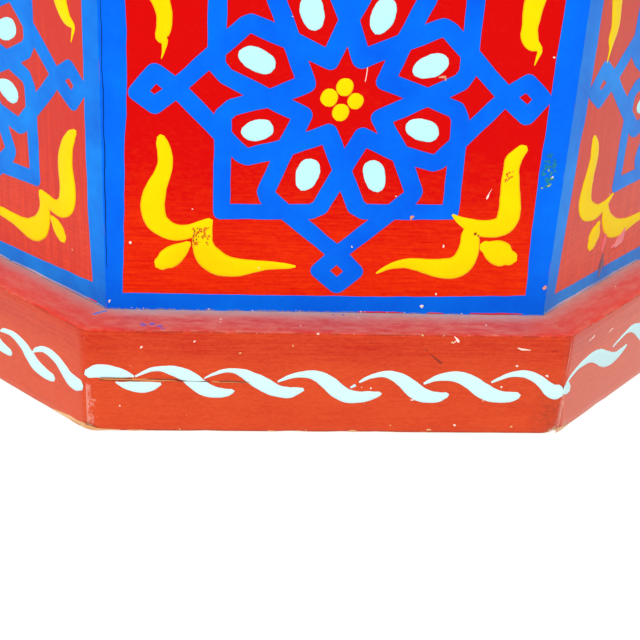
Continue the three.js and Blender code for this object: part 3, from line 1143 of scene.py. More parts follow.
def asTop(strokes, lift=0):
    # a lower corner's strokes mirrored to the upper corner, where the first horn ends in a point
    out = [[(u, mirrorHeight - z, w) for u, z, w in stroke] for stroke in strokes]
    u, z, w = out[0][0]
    out[0][:1] = [(u + du, z + dz, width) for du, dz, width in pointedTip]
    out[0] = [(u, z + lift, w) for u, z, w in out[0]]
    return out


def cornerStrokes(side):
    if side == 1:
        low = [flourishes["frontLeft"], flourishes["frontRight"]]
    elif side == 2:
        low = [flourishes["rightSide"], mirrored(flourishes["frontLeft"])]
    elif side == 8:
        low = [mirrored(flourishes["frontRight"]), flourishes["leftSide"]]
    else:
        kinds = ["frontLeft", "leftSide", "frontRight", "rightSide"]
        left, right = flourishes[kinds[side % 4]], flourishes[kinds[(side * 3 + 1) % 4]]
        low = [left if left[0][0][0] < 0 else mirrored(left),
               right if right[0][0][0] > 0 else mirrored(right)]
    strokes = low[0] + low[1] + asTop(low[0]) + asTop(low[1], 1.5 if side == 1 else 0)
    if side in seenSides:
        return strokes
    return [[(*strayed(u, z, "flourish", side), w) for u, z, w in stroke] for stroke in strokes]


dab = {
    "steps": 14,
    "fullness": 2.2,
    "lopsided": 0.1,
    "bend": 0.6,
    "wander": 1.3,
    "spacing": 0.5,
    "dotLength": 1.04,
    "dotSkew": 0.2,
    "dotSpacing": 0.4,
}


def oval(u, z, long, wide, heading, skew):
    # a dab of paint: heading in degrees from the u axis, skew bends it a little
    along = Vector((math.cos(math.radians(heading)), math.sin(math.radians(heading))))
    across = Vector((-along.y, along.x))
    out = []
    for i in range(dab["steps"] + 1):
        t = -math.cos(math.pi * i / dab["steps"])
        width = wide * max(0.0, 1 - abs(t) ** dab["fullness"]) ** 0.5 * (1 + dab["lopsided"] * skew * t)
        p = Vector((u, z)) + along * (t * long / 2) + across * (skew * dab["bend"] * (t * t - 0.5))
        out.append((p.x, p.y, max(width, brush["tip"])))
    return out


# pale dabs between the lobes: middle, length, width, heading
dabs = [
    (-11.6, 106.0, 13.8, 9.4, 76, 0.8),
    (14.8, 106.0, 13.6, 8.8, 108, 0.6),
    (-31.2, 123.4, 12.6, 8.4, 14, 0.5),
    (32.0, 125.5, 13.4, 9.0, -16, 0.7),
    (-32.0, 150.6, 14.6, 9.2, -24, 0.6),
    (32.8, 150.4, 14.0, 9.0, 22, 0.8),
    (-12.6, 168.6, 13.6, 9.0, 106, 0.5),
    (13.4, 168.2, 13.8, 9.2, 72, 0.6),
]
dots = [(-4.6, 136.9, 6.9), (1.1, 141.2, 6.7), (5.4, 135.9, 6.3), (0.0, 131.3, 6.7)]

for side in sides:
    spots = [oval(*byHand(u, z, side), size * dab["dotLength"], size, 30 + 40 * side, dab["dotSkew"])
             for u, z, size in dots]
    turned = hand[side].get("mirror")
    marks = [oval(*byHand(u, z, side), long, wide, 180 - heading if turned else heading, skew)
             for u, z, long, wide, heading, skew in dabs]
    flourish = brushStrokes(f"yellowFlourish_{side}", cornerStrokes(side), yellowPaint, side, side, panelFace)
    keep(flourish, "yellow_paint")
    spots = brushStrokes(f"yellowDots_{side}", spots, yellowPaint, side + 20, side, panelFace,
                         spacing=dab["dotSpacing"])
    keep(spots, "yellow_paint")
    marks = brushStrokes(f"paleDabs_{side}", marks, dabPaint, side + 40, side, panelFace,
                         wander=dab["wander"], spacing=dab["spacing"])
    keep(marks, "pale_blue_paint")
print("flourishes, dots and dabs painted")


# braid
braids = {
    "front": [
        [(-95.4, 27.1, 4.2), (-93, 27.8, 5.6), (-90, 27.9, 5.7), (-86.5, 27.6, 5.1), (-82.5, 26.8, 3.6),
         (-78, 25.5, 0.8)],
        [(-85.4, 23.1, 0.6), (-82.5, 21.8, 2.8), (-78, 20.9, 4.5), (-74, 20.7, 4.7), (-70.5, 21.4, 3.6),
         (-67.4, 22.5, 1.2)],
        [(-77.5, 25.6, 0.8), (-74.5, 27.3, 1.5), (-71, 28.9, 1.9), (-67, 29.3, 2.6), (-63, 28.6, 4.2),
         (-58, 26.6, 5.4), (-54.5, 24, 6.2), (-52, 21.6, 6.4), (-49, 19.7, 6), (-45, 18.6, 4.8),
         (-41.5, 18.6, 3.6),
         (-39.2, 19.2, 2.4)],
        [(-50, 25.3, 0.6), (-46, 27.4, 1.5), (-42, 28.7, 1.9), (-38, 28.6, 2.4), (-34, 27.3, 4),
         (-29.5, 24.6, 5.6),
         (-25, 21.8, 6), (-20.5, 19.6, 5.2), (-16, 18.8, 4.8), (-12.5, 19.7, 3.4), (-9.8, 20.6, 1.4)],
        [(-20.5, 24, 0.8), (-17, 25.8, 1.7), (-12.5, 27.2, 2.6), (-8, 27.5, 3.4), (-3.5, 26.2, 4.9),
         (0.5, 23.2, 6),
         (4, 20, 6.4), (8, 17.6, 6), (13, 17, 5), (17.5, 17.8, 4), (21, 18.7, 2.4)],
        [(9.2, 21.6, 0.9), (11.2, 22.8, 1.2)],
        [(12.6, 24.1, 0.8), (14, 25, 1.3), (17.5, 26.7, 1.9), (22, 28, 2.9), (26.5, 27.2, 4), (31, 24.6, 5.6),
         (34.5, 21.4, 6.4), (38, 18.8, 6.4), (42, 17.4, 5.4), (46, 17.5, 4.4), (48.6, 18.3, 3)],
        [(39.2, 23.6, 0.9), (42.5, 25.6, 2.2), (46.5, 26.9, 3.2), (51, 27.3, 4.2), (55.5, 26.2, 5.4),
         (60, 23.6, 6.2),
         (64, 20.7, 6.6), (68, 18.6, 6.2), (72.5, 17.7, 5.2), (76, 17.8, 4.6), (78, 18.3, 3.6)],
        [(67, 24.6, 0.8), (70, 26.2, 1.6), (74, 28, 2.2), (78, 28.8, 3), (82, 28.5, 3.4), (86, 26.6, 3.8),
         (89.5, 23.8, 4.4), (92.2, 21.4, 5.8), (94.4, 20.4, 6.6)],
    ],
    "left": [
        [(-8, 22.5, 0.8), (-4, 25, 1.8), (1, 26.2, 2.6), (6, 25.8, 4), (11, 23.2, 5.4), (15.5, 19.8, 6),
         (21, 17.6, 5),
         (26, 17.9, 3.2)],
        [(14, 24, 0.8), (18, 25.8, 1.9), (23, 26.8, 2.8), (28, 26, 4.2), (33, 23.3, 5.6), (37.5, 20, 6),
         (42, 17.6, 5.4),
         (46, 16.8, 4.2), (48, 16.8, 3.4)],
        [(42.6, 24.9, 0.8), (45, 26, 2.2), (49.5, 26.6, 3), (54, 25.8, 4), (58.5, 23.6, 5.2), (62, 20.6, 6.4),
         (66, 18, 6.6), (70.5, 16.6, 5.6), (74.5, 16.2, 4.6), (76.4, 16.4, 4)],
        [(64.5, 23.4, 0.9), (67, 25.4, 2.2), (71, 27.2, 3), (76, 27.4, 3.8), (80.5, 26, 4.6),
         (84.5, 23.2, 5.6),
         (88, 20.6, 6.4), (91.5, 19.8, 6.4), (94, 20.2, 5)],
    ],
    "right": [
        [(-94.8, 20.9, 5.4), (-93.8, 20.2, 4.4)],
        [(-96, 23.8, 0.8), (-92, 26.2, 1.8), (-87, 28.2, 2.4), (-81, 28.9, 3.4), (-75.5, 28.6, 4.8),
         (-70, 26.9, 6.2),
         (-64.5, 23.6, 7), (-59.5, 21.4, 6.4), (-54, 20.4, 5), (-48.5, 21.2, 3.4), (-44, 22.6, 1.4)],
        [(-57.5, 26.8, 0.7), (-53, 28.4, 1.2), (-47, 29.8, 1.8), (-42, 30.2, 3.2), (-37, 28.6, 4.8),
         (-32, 25.6, 6.2),
         (-27.5, 22.4, 6.4), (-22, 19.6, 5.6), (-17, 19, 4.2), (-13, 20, 2)],
    ],
}
braid = {
    "pitch": 29.0,
    "middle": 22.6,
    "end": 94.5,
    "fat": 1.1,
    "fatFrom": 3,
    "finest": 0.6,
    "wander": 0.8,
    "size": (0.94, 1.06),
    "tall": (0.9, 1.1),
    "drift": (-0.8, 0.8),
    "weight": (0.9, 1.08),
    "stride": (0.95, 1.05),
    "link": [(-14.5, 2.6, 0.8), (-11, 4.6, 1.6), (-7, 5.8, 2.4), (-2.6, 5.9, 3.4), (2, 4.4, 4.8), (6, 1.6, 6),
             (9.6, -1.6, 6.4), (13.4, -4.0, 6), (18, -4.9, 5), (22.5, -4.4, 4), (25.6, -3.4, 2.6)],
}


def braidLinks(first, last, seed):
    # repeats one link at its pitch, each a little different, as a hand does
    draw = random.Random(seed)
    links = []
    at = first
    while at < last:
        size, tall, drift, fat = (draw.uniform(*braid[key]) for key in ("size", "tall", "drift", "weight"))
        link = [(at + u * size, braid["middle"] + drift + z * tall, max(braid["finest"], w * fat))
                for u, z, w in braid["link"]]
        link = [(u, z, w) for u, z, w in link if abs(u) < braid["end"]]
        if len(link) > 3:
            links.append(link)
        at += braid["pitch"] * draw.uniform(*braid["stride"])
    return links


def plinthBraid(side):
    if side == 1:
        return braids["front"]
    if side == 8:
        return braidLinks(-92, -20, 80) + braids["left"]
    if side == 2:
        return braids["right"] + braidLinks(-14, 84, 20)
    return braidLinks(-90, 84, side * 7)


friezeShift = (friezeFoot + boxTop) / 2 - ledge / 2
for side in sides:
    low = [[(u, z, w * braid["fat"] if w > braid["fatFrom"] else w) for u, z, w in link]
           for link in plinthBraid(side)]
    high = [[(u, z + friezeShift, w) for u, z, w in link] for link in braidLinks(-90, 84, side * 7 + 100)]
    low = brushStrokes(f"plinthBraid_{side}", low, palePaint, side + 60, side, bandFace,
                       wander=braid["wander"])
    keep(low, "pale_blue_paint")
    high = brushStrokes(f"friezeBraid_{side}", high, palePaint, side + 80, side, bandFace)
    keep(high, "pale_blue_paint")
print("braids painted")


# seat pattern
# A guess, because the photo stops below it: the panels' star again, larger, inside a band along the edges.
seatPattern = {
    "scale": 2.1,
    "strapShare": 0.92,
    "bands": [(13.0, 9.0), (29.0, 4.5)],
    "seamRoom": 0.45,
    "seed": 41,
    "dotSize": (1.75, 1.7),
    "dabSize": (1.6, 1.55),
}


def toSeat(u, z):
    return (u - patternMiddle[0]) * seatPattern["scale"], (z - patternMiddle[1]) * seatPattern["scale"]


def toCorner(index):
    angle = halfTurn + 2 * halfTurn * index
    return Vector((math.cos(angle), math.sin(angle)))


def onSeat(p):
    return Vector((p.x, p.y, seatTop + p.z)) * mm


def seatOutlines():
    outlines = []
    for strap in straps:
        outlines += capsules([(*toSeat(u, z), w * seatPattern["scale"] * seatPattern["strapShare"])
                              for u, z, w in strap])
    for inset, width in seatPattern["bands"]:
        reach = (seatFace - inset) / math.cos(halfTurn)
        for index in range(len(sides)):
            ends = toCorner(index) * reach, toCorner(index + 1) * reach
            outlines.append(capsule(*ends, width / 2, width / 2))
    return outlines


for index in range(seat["planks"]):
    low = -seatFace + plankPitch * index + seatPattern["seamRoom"]
    strip = (low, low + plankPitch - 2 * seatPattern["seamRoom"])
    name = f"seatStrapwork_{index + 1}"
    mesh = filmMesh(name, seatOutlines(), onSeat, seatPattern["seed"], strip)
    keep(pieceOf(name, mesh, bluePaint), "blue_paint")

# a leaf between two horns points at each corner of the seat: (out, sideways, width)
seatLeaf = [(176, 0, 3), (183, 0, 7), (191, 0, 9.5), (199, 0, 9), (206, 0, 5)]
seatHorn = [(168, 4, 2.5), (176, 8, 6), (184, 14, 9), (190, 22, 9.5), (193, 32, 8), (193, 42, 6),
            (190, 52, 3.6), (186, 60, 1)]
spray = []
for index in range(len(sides)):
    ahead = toCorner(index)
    across = Vector((-ahead.y, ahead.x))
    for stroke in (seatLeaf, seatHorn, [(out, -sideways, w) for out, sideways, w in seatHorn]):
        line = [(*(ahead * out + across * sideways), w) for out, sideways, w in stroke]
        spray.append([(*strayed(x, y, "flourish", 40), w) for x, y, w in line])
longer, wider = seatPattern["dotSize"]
spray += [oval(*toSeat(u, z), size * longer, size * wider, 40, dab["dotSkew"]) for u, z, size in dots]
keep(brushStrokes("seatSprays", spray, yellowPaint, 31, face=seatTop), "yellow_paint")
longer, wider = seatPattern["dabSize"]
seatDabs = [oval(*toSeat(u, z), long * longer, wide * wider, heading, skew)
            for u, z, long, wide, heading, skew in dabs]
keep(brushStrokes("seatDabs", seatDabs, dabPaint, 32, face=seatTop, wander=1.4), "pale_blue_paint")
print("seat painted")


# wear and stray paint
# marks drawn as strokes: the crack and scuffs of the front, and paint that strayed
marksOnBoards = {
    "crackWood": (woodLine, 1, bandFace, 0.46, [
        [(-91.6, 24.7, 0.6), (-88, 24.4, 1.0), (-80, 24.3, 0.9), (-70, 24.2, 1.0), (-63, 24.1, 0.6),
         (-60, 23.9, 0.3)],
        [(-47, 23.7, 0.4), (-42, 23.6, 0.6), (-37, 23.6, 0.5), (-32, 23.5, 0.3)]]),
    # painted shadow: thin dark lines along the crack, where its groove lies in shade
    "crackShadow": (crackShade, 1, bandFace, 0.52, [
        [(-91.8, 24.2, 0.16), (-86, 23.9, 0.2), (-78, 23.8, 0.16), (-72, 24.6, 0.2), (-66, 24.5, 0.2),
         (-62.5, 24.4, 0.4), (-60.8, 24.2, 1.0), (-59, 24.0, 0.8), (-57, 23.9, 0.3), (-53, 23.85, 0.2),
         (-50, 23.8, 0.35), (-48, 23.8, 0.16)],
        [(-91.5, 25.1, 0.14), (-84, 24.9, 0.18), (-79, 24.8, 0.14)],
        [(-44, 24.0, 0.14), (-39, 23.9, 0.16), (-33, 23.7, 0.14)]]),
    "scuff": (scuffLine, 1, bandFace, 0.12, [
        [(40.6, 37.6, 0.4), (42.2, 36.1, 0.8), (44.3, 34.3, 1.2), (45.7, 33.1, 0.9)],
        [(38.4, 39.6, 0.5), (39.4, 38.7, 0.4)]]),
    "cornerCrack": (navyLine, 1, panelFace, 0.3, [
        [(-89.0, 172, 0.3), (-88.8, 158, 0.4), (-89.1, 146, 0.35), (-88.8, 134, 0.5), (-89.1, 124, 0.45),
         (-88.9, 112, 0.6), (-89.3, 101, 0.5), (-89.2, 90, 0.6), (-89.4, 80, 0.4), (-89.3, 71, 0.45),
         (-89.5, 65, 0.3)]]),
    "panelScratches": (chipWhite, 1, panelFace, 0.1, [
        [(9.4, 152, 0.25), (9.1, 148, 0.35), (8.7, 143.5, 0.3)],
        [(60.3, 97.6, 0.5), (60.6, 98.6, 0.9), (61.0, 100, 0.3), (61.8, 102, 0.15)]]),
    "pinkSmudges": (pinkPaint, 2, panelFace, 0.5, [
        [(-33.5, 61.6, 2.4), (-31.5, 62.6, 4.4), (-29.0, 64.6, 4.2), (-27.2, 67.4, 2.6)],
        [(-28.6, 61.8, 1.6), (-27.6, 63.6, 2.6), (-26.8, 65.2, 1.2)],
        [(-45.9, 62.4, 1.4), (-45.3, 65.0, 2.8), (-44.8, 68.0, 2.4), (-44.4, 70.5, 1.0)],
        [(-37.5, 61.4, 0.5), (-35.6, 62.2, 1.4), (-34, 61.6, 0.8)]]),
    "brownSmear": (smearBrown, 2, panelFace, 0.26, [
        [(-43.6, 60.8, 0.8), (-43.9, 58.2, 2.6), (-44.4, 55.2, 3.8), (-44.6, 52.2, 3.0), (-44.8, 49.4, 1.4)],
        [(-42.2, 57.2, 0.5), (-42.0, 54.6, 1.4), (-42.4, 52.5, 0.5)]]),
    "footWood": (tanPaint, 1, bandFace, 0.1, [
        [(-97.2, 1.8, 1.8), (-94.9, 1.0, 1.4), (-91.5, 0.7, 0.8), (-88.2, 0.6, 0.5), (-84, 0.5, 0.3)],
        [(-81.5, 0.5, 0.3), (-78, 0.5, 0.5), (-74, 0.5, 0.3)],
        [(-24, 0.6, 0.4), (-21, 0.6, 0.5)], [(9.6, 0.7, 0.4), (11.6, 0.9, 1.0), (13, 0.6, 0.3)]]),
    "footWoodLeft": (tanPaint, 8, bandFace, 0.1, [
        [(76, 0.8, 0.4), (80, 1.1, 1.0), (84, 1.4, 1.7), (88, 1.6, 2.0), (92, 1.7, 1.7), (96.5, 2.0, 2.4)]]),
    "footWoodRight": (tanPaint, 2, bandFace, 0.1, [
        [(-97.2, 1.4, 2.0), (-94.5, 1.2, 1.8), (-91, 0.8, 0.9), (-87, 0.6, 0.4)]]),
    "paleArris": (paleRub, 2, bandFace, 0.08, [
        [(-97.0, 24.5, 0.2), (-96.8, 20, 0.5), (-96.9, 15, 0.4), (-96.6, 10, 0.8), (-96.6, 5, 0.7),
         (-96.8, 2, 0.5)],
        [(-97.1, 44, 0.2), (-97.0, 36, 0.4), (-97.1, 28, 0.2)]]),
    "whiteStreak": (chipWhite, 1, bandFace, 0.1, [
        [(76.1, 40.8, 0.5), (78, 40.2, 1.0), (79.4, 40.1, 0.7), (81.5, 39.8, 0.3)],
        [(49.6, 45.8, 0.3), (50.6, 44.6, 0.7), (51.2, 43.8, 1.3), (51.6, 43.0, 0.7)],
        [(50.9, 44.1, 0.4), (49.2, 42.6, 0.35)]]),
    "rightScratches": (chipWhite, 2, bandFace, 0.1, [
        [(-81.4, 38.4, 0.4), (-79.4, 38.7, 0.5), (-77, 39.2, 0.4)], [(-78.4, 38.4, 0.3), (-77.4, 39.9, 0.4)],
        [(-64, 36.4, 0.3), (-62, 36.9, 0.5), (-60.4, 37.0, 0.3)]]),
    "redOverBlue": (freshRed, 1, panelFace, 0.34, [
        [(12, 46.9, 0.5), (18, 46.8, 0.8), (26, 46.9, 0.7), (31, 46.8, 0.4)],
        [(59, 46.9, 0.5), (66, 46.8, 0.9), (74, 46.9, 0.9), (81, 46.9, 0.5)],
        [(41, 46.8, 0.4), (45, 46.8, 0.6), (48, 46.8, 0.4)]]),
    "redOverBlueLeft": (freshRed, 8, panelFace, 0.34, [
        [(77, 46.8, 0.9), (79.6, 47.0, 1.6), (82.8, 47.2, 1.5), (84.5, 47.6, 0.6)],
        [(62, 46.8, 0.4), (67, 46.8, 0.7), (72, 46.8, 0.4)]]),
    "frostLeft": (frostPaint, 8, panelFace, 0.42, [
        [(89, 46.9, 0.5), (80, 47.0, 1.0), (68, 47.1, 1.3), (55, 47.0, 1.0), (42, 47.1, 1.3),
         (28, 46.9, 0.8)],
        [(26, 46.9, 0.8), (10, 47.1, 1.2), (-12, 47.0, 1.0)]]),
    "frostRight": (frostPaint, 2, panelFace, 0.5, [
        [(-89.5, 46.9, 0.8), (-82, 47.0, 1.8), (-74, 47.1, 2.2), (-66, 47.0, 1.8), (-55, 47.1, 2.3),
         (-44, 47.0, 1.8),
         (-28, 47.0, 2.0), (-8, 46.9, 1.0)]]),
}
markSlots = {woodLine: "yellow_paint", tanPaint: "yellow_paint", frostPaint: "pale_blue_paint",
             chipWhite: "pale_blue_paint"}
for name, (paint, side, face, height, strokes) in marksOnBoards.items():
    marks = brushStrokes(name, strokes, paint, 90, side, face, height=height, wander=0.5, spacing=0.6)
    keep(marks, markSlots.get(paint, "band_paint"))
# a brush of blue slipped onto the ledge at the front's left corner: (u on side 8, out, width)
slip = [(*(sideTurn(8) @ Vector((u, -out, 0)))[:2], width)
        for u, out, width in ((91.5, 218.2, 1.0), (90.9, 220.6, 1.6), (90.6, 222.6, 1.4), (90.2, 225.0, 0.6))]
keep(brushStrokes("blueOnLedge", [slip], bluePaint, 91, face=ledge, height=0.15), "blue_paint")

specks = {
    "height": 0.28,
    "seenSides": 16,
    "perSide": 30,
    "inAngle": 14,
    "smallest": 0.28,
    "largest": 0.75,
    "oneBead": 0.7,
    "beads": ((0.8, 0.12), (0.62, 0.34), (0.5, 0.42)),
    "proud": 0.25,
}


def turnedOut(tree):
    # each point's own facing, as a turn from +Z
    values = {"Vector": stored(tree, "facing", "FLOAT_VECTOR")}
    return signal(tree, "FunctionNodeAlignRotationToVector", values, axis="Z")


def speckTree():
    # sets a flattened bead of paint on every point, turned to its face and sized by the point
    tree, given = startTree("paintSpecks", "Places", ("Flatness",), "Paint", "Specks")
    bead = signal(tree, "GeometryNodeMeshUVSphere", {"Segments": 9, "Rings": 5, "Radius": 1.0})
    wide, tall, unused = stored(tree, "speckSize", "FLOAT_VECTOR").parts()
    size = combined(tree, wide, tall, wide * given["Flatness"])
    values = {"Instance": bead, "Rotation": turnedOut(tree), "Scale": size}
    placed = given["Places"].shaped("MeshToPoints").shaped("InstanceOnPoints", values)
    return endTree(placed, given["Paint"], "Specks")


specksTree = speckTree()


def scatter(name, places, paint, slotName):
    # places: (side, u, z, out, wide, tall, faceUp) in mm
    bm = bmesh.new()
    facingLayer = bm.verts.layers.float_vector.new("facing")
    sizeLayer = bm.verts.layers.float_vector.new("speckSize")
    shape = random.Random(len(places))
    for side, u, z, out, wide, tall, up in places:
        turn = sideTurn(side)
        # a chip is never round: three beads run together
        for share, stray in specks["beads"] if wide > specks["oneBead"] else ((1, 0),):
            du, dz = (stray * size * shape.uniform(-1, 1) for size in (wide, tall))
            place = Vector((u + du, -out - dz, z)) if up else Vector((u + du, -out, z + dz))
            vertex = bm.verts.new(turn @ (place * mm))
            vertex[facingLayer] = Vector((0, 0, 1)) if up else turn @ Vector((0, -1, 0))
            vertex[sizeLayer] = Vector((wide * share, tall * share * shape.uniform(0.7, 1.1), 0)) * mm / 2
    source = linked(name + "Places", meshOf(bm, name + "Places"))
    keep(runTree(source, specksTree, {"Flatness": specks["height"], "Paint": paint}, name, paint), slotName)


def onPanel(u, z, wide=0.8, tall=None, side=1, proud=specks["proud"]):
    return side, u, z, panelFace + proud, wide, tall or wide, False


def onPlinth(u, z, wide=0.8, tall=None, side=1):
    return side, u, z, bandFace, wide, tall or wide, False


def onLedge(u, out, wide=0.8, tall=None, side=1):
    return side, u, ledge, out, wide, tall or wide, True


# specks seen in the photo: (u, height or distance out, width, height, side)
white = [onPanel(*at) for at in (
    (45, 77, 0.7, 1.6), (44, 55.6, 0.7, 1.5), (-80, 76, 1.3, 1.6), (8, 76), (-88.6, 50, 1.2), (38.5, 50, 1.6),
    (-29, 66, 0.6), (24, 98, 0.7), (85.5, 107.5, 0.9), (79.5, 155, 0.9))]
white += [onPlinth(*at) for at in (
    (-5.5, 46, 1.3, 1.0), (-75, 39, 1.1), (-54, 42, 1.0), (77, 32.5, 1.2), (90, 28, 1.2), (35, 16, 1.7, 1.1),
    (54, 4, 1.2), (17.5, 21.4, 1.0), (71.5, 22.5, 1.2), (-84, 12, 0.7))]
white += [onLedge(*at) for at in ((-44, 225, 0.9), (12, 222), (64, 227, 0.9), (-12, 230, 0.7))]
draw = random.Random(7)
for side in sides:
    for i in range(specks["inAngle"]):
        # light bits of dust and paint in the angle of the ledge
        u, z = draw.uniform(-88, 88), ledge + draw.uniform(0.2, 0.9)
        white.append(onPanel(u, z, draw.uniform(0.3, 0.65), None, side))
    for i in range(specks["seenSides" if side in seenSides else "perSide"]):
        size = specks["smallest"] + (specks["largest"] - specks["smallest"]) * draw.random() ** 2.2
        where = draw.random()
        u = draw.uniform(-86, 86)
        if where < 0.45:
            white.append(onPanel(u, draw.uniform(50, 225), size, None, side))
        elif where < 0.68:
            white.append(onPlinth(u, draw.uniform(3, 44), size, None, side))
        elif where < 0.88:
            white.append(onLedge(u, draw.uniform(219, 234), size, None, side))
        else:
            white.append(onPlinth(u, draw.uniform(friezeFoot + 3, boxTop - 4), size, None, side))
scatter("whiteSpecks", white, chipWhite, "pale_blue_paint")


def drawn(count, us, zs, widths, heights, proud, spread=draw.uniform):
    # specks drawn at random round one spot of the front panel
    return [onPanel(spread(*us), spread(*zs), draw.uniform(*widths), draw.uniform(*heights), 1, proud)
            for i in range(count)]


worn = drawn(26, (-55.2, -48.8), (75.8, 83.4), (0.5, 1.3), (0.6, 1.6), 0.38)
dirt = drawn(13, (-55.2, -49.2), (76, 83), (0.3, 0.69), (0.5, 1.6), 0.40)
worn += drawn(14, (67.5, 0.9), (107.5, 1.3), (0.5, 1.3), (0.5, 1.5), 0.34, draw.gauss)
dirt += [onPanel(*at, 1, 0.4) for at in ((57.3, 82.7, 1.5, 1.2), (58.6, 82.0, 0.69, 0.9),
                                         (67.2, 108.3, 0.5, 0.8), (68.1, 106.4, 0.4, 0.6))]
green = drawn(26, (81.5, 86.5), (103, 117), (0.7, 1.9), (0.8, 2.2), specks["proud"])
lime = [onPanel(*at) for at in ((84.6, 104.2, 1.4), (85.2, 107.2, 1.0), (83.4, 110.4, 0.9), (81.8, 103.0))]
chips = [onPlinth(*at) for at in (
    (36.5, 46.2, 1.3, 1.0), (-36, 37, 1.1), (49, 43, 1.1), (78, 3.5, 1.2), (43, 1.8, 2.4, 1.0), (-15, 40.6),
    (27, 3.6, 0.7), (-60, 1.2), (-8, 1.0, 0.6))]
violet = [onLedge(*at) for at in ((-74.4, 231, 3.0, 2.6), (-71.2, 230.4, 3.4, 2.8), (-68, 231.8, 2.4, 2.2),
                                  (-66.8, 234, 2.0, 1.6), (6, 219.5, 1.4), (2, 220, 1.0))]
salmon = [onPanel(*at) for at in ((37.8, 146.2, 2.4, 1.3), (39.0, 145.6, 1.2), (70, 66, 1.2, 1.0, 8),
                                  (88.6, 59.2, 1.8, 2.4), (31, 89, 1.6, 2.0))]
scatter("wornThroughYellowSpots", worn, orangeSpeck, "yellow_paint")
scatter("dirtOnYellow", dirt, brownSpeck, "yellow_paint")
scatter("strayGreen", green, greenSpeck, "blue_paint")
scatter("strayLime", lime, limeSpeck, "yellow_paint")
scatter("chipsToWood", chips, tanSpeck, "yellow_paint")
scatter("strayViolet", violet, violetSpeck, "blue_paint")
scatter("straySalmon", salmon, salmonSpeck, "yellow_paint")
print("wear and stray paint added")


# unpainted wood and steel inside
pine = {
    "alongScale": 4.0,
    "acrossScale": 150.0,
    "fibreScale": 9,
    "pale": "#ecc896",
    "dark": "#c08448",
}


# Sawn pine: pale, with darker latewood bands and a woolly sawn face.
def sawnPine(name, along):
    material, tree, shader = startMaterial(name, 0.75)
    place = signal(tree, "ShaderNodeTexCoord", None, "Object")
    scale = [pine["alongScale" if axis == along else "acrossScale"] for axis in "XYZ"]
    bands = place.stretched(scale).grain(1.0, 4.0)
    bands.ramp(0.35, 0.68, kind="LINEAR").blend(pine["pale"], pine["dark"]).feed(shader, "Base Color")
    place.stretched([pine["fibreScale"] * v for v in scale]).grain().bump(shader, 0.7, 0.0002)
    return material


def dullSteel():
    material, tree, shader = startMaterial("dullSteelWire", 0.45)
    shader.inputs["Metallic"].default_value = 1.0
    place = signal(tree, "ShaderNodeTexCoord", None, "Object")
    rust = place.grain(900.0, 3.0).ramp(0.55, 0.75, kind="LINEAR")
    rust.blend("#9a9894", "#7a4a30").feed(shader, "Base Color")
    return material


uprightPine = sawnPine("sawnPineUpright", "Z")
battenPine = sawnPine("sawnPineBatten", "Y")
for name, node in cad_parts.items():
    if name.startswith("corner_block"):
        clad(node.data, uprightPine)
    if name.startswith("seat_batten"):
        clad(node.data, battenPine)

fastener = {
    "sides": 20,
    "slotLength": 1.7,
    "sharp": 35,
    "nail": {"Head Radius": 2.6, "Neck Radius": 2.2, "Head Height": 1.0, "Shank Radius": 1.1,
             "Tip Length": 2.5, "Slot": 0.0},
    "screw": {"Head Radius": 4.0, "Neck Radius": 1.8, "Head Height": 2.6, "Shank Radius": 1.8,
              "Tip Length": 4.0, "Slot": 0.9},
}


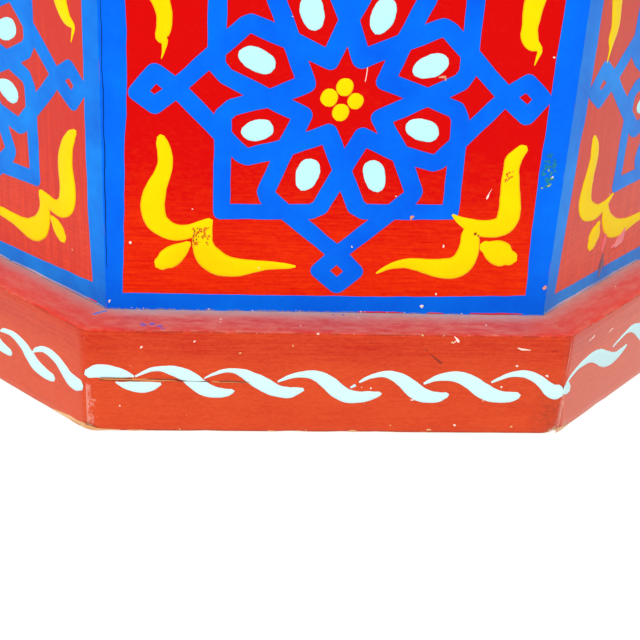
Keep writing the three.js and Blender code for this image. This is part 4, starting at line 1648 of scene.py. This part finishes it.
def fastenerTree():
    # a head, shank and point along each point's facing, all from named sizes
    tree, given = startTree("fastener", "Heads", ("Length", *fastener["nail"]), "Metal", "Fasteners")
    length, head, neck, headHeight, shank, tip, slot = list(given.values())[1:-1]

    def part(top, bottom, depth, start):
        cone = signal(tree, "GeometryNodeMeshCone", {
            "Vertices": fastener["sides"], "Radius Top": top, "Radius Bottom": bottom, "Depth": depth})
        return cone.shaped("Transform", {"Translation": combined(tree, 0.0, 0.0, start)})

    def joined(operation, values=None):
        return signal(tree, "GeometryNodeMeshBoolean", values, operation=operation, solver="EXACT")

    top = part(neck, head, headHeight, 0.0)
    cutSize = combined(tree, head * fastener["slotLength"], slot, slot)
    cut = signal(tree, "GeometryNodeMeshCube", {"Size": cutSize})
    slotted = joined("DIFFERENCE", {"Mesh 1": top, "Mesh 2": cut})
    limits = {0: slot, 1: 0.0001}
    hasSlot = signal(tree, "FunctionNodeCompare", limits, operation="GREATER_THAN", data_type="FLOAT")
    values = {"Switch": hasSlot, "False": top, "True": slotted}
    chosen = signal(tree, "GeometryNodeSwitch", values, input_type="GEOMETRY")
    whole = joined("UNION")
    stem = part(shank, shank, length - tip - headHeight, headHeight)
    for piece in (chosen, stem, part(0.0, shank, tip, length - tip)):
        piece.feed(whole.socket.node, "Mesh 2")
    points = given["Heads"].shaped("MeshToPoints")
    placed = points.shaped("InstanceOnPoints", {"Instance": whole, "Rotation": turnedOut(tree)})
    return endTree(placed, given["Metal"], "Fasteners", False)


steel = dullSteel()
fastenersTree = fastenerTree()


def driven(name, kind, nodes, upward):
    # one object for a row of fasteners, each in its solid's place
    bm = bmesh.new()
    facingLayer = bm.verts.layers.float_vector.new("facing")
    for index, node in enumerate(nodes):
        low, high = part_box(node)
        if not upward:
            low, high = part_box(nodes[0])
        turn = sideTurn(1 if upward else index + 1)
        x, y, z = ((a + b) / 2 for a, b in zip(low, high))
        vertex = bm.verts.new(turn @ Vector((x, y, low.z) if upward else (0, high.y, z)))
        vertex[facingLayer] = turn @ Vector((0, 0, 1) if upward else (0, -1, 0))
        length = high.z - low.z if upward else high.y - low.y
    source = linked(name + "Heads", meshOf(bm, name + "Heads"))
    values = {label: size * mm for label, size in fastener[kind].items()}
    piece = runTree(source, fastenersTree, {**values, "Length": length, "Metal": steel}, name, steel)
    piece.data.set_sharp_from_angle(angle=math.radians(fastener["sharp"]))
    keep(piece, "steel", *nodes)


driven("plinthNails", "nail", [f"plinth_nail_{side}" for side in sides], False)
driven("friezeNails", "nail", [f"frieze_nail_{side}" for side in sides], False)
driven("seatScrews", "screw", [f"seat_screw_{i}" for i in range(1, 7)], True)
print("inside finished")


# end
print("scene built")
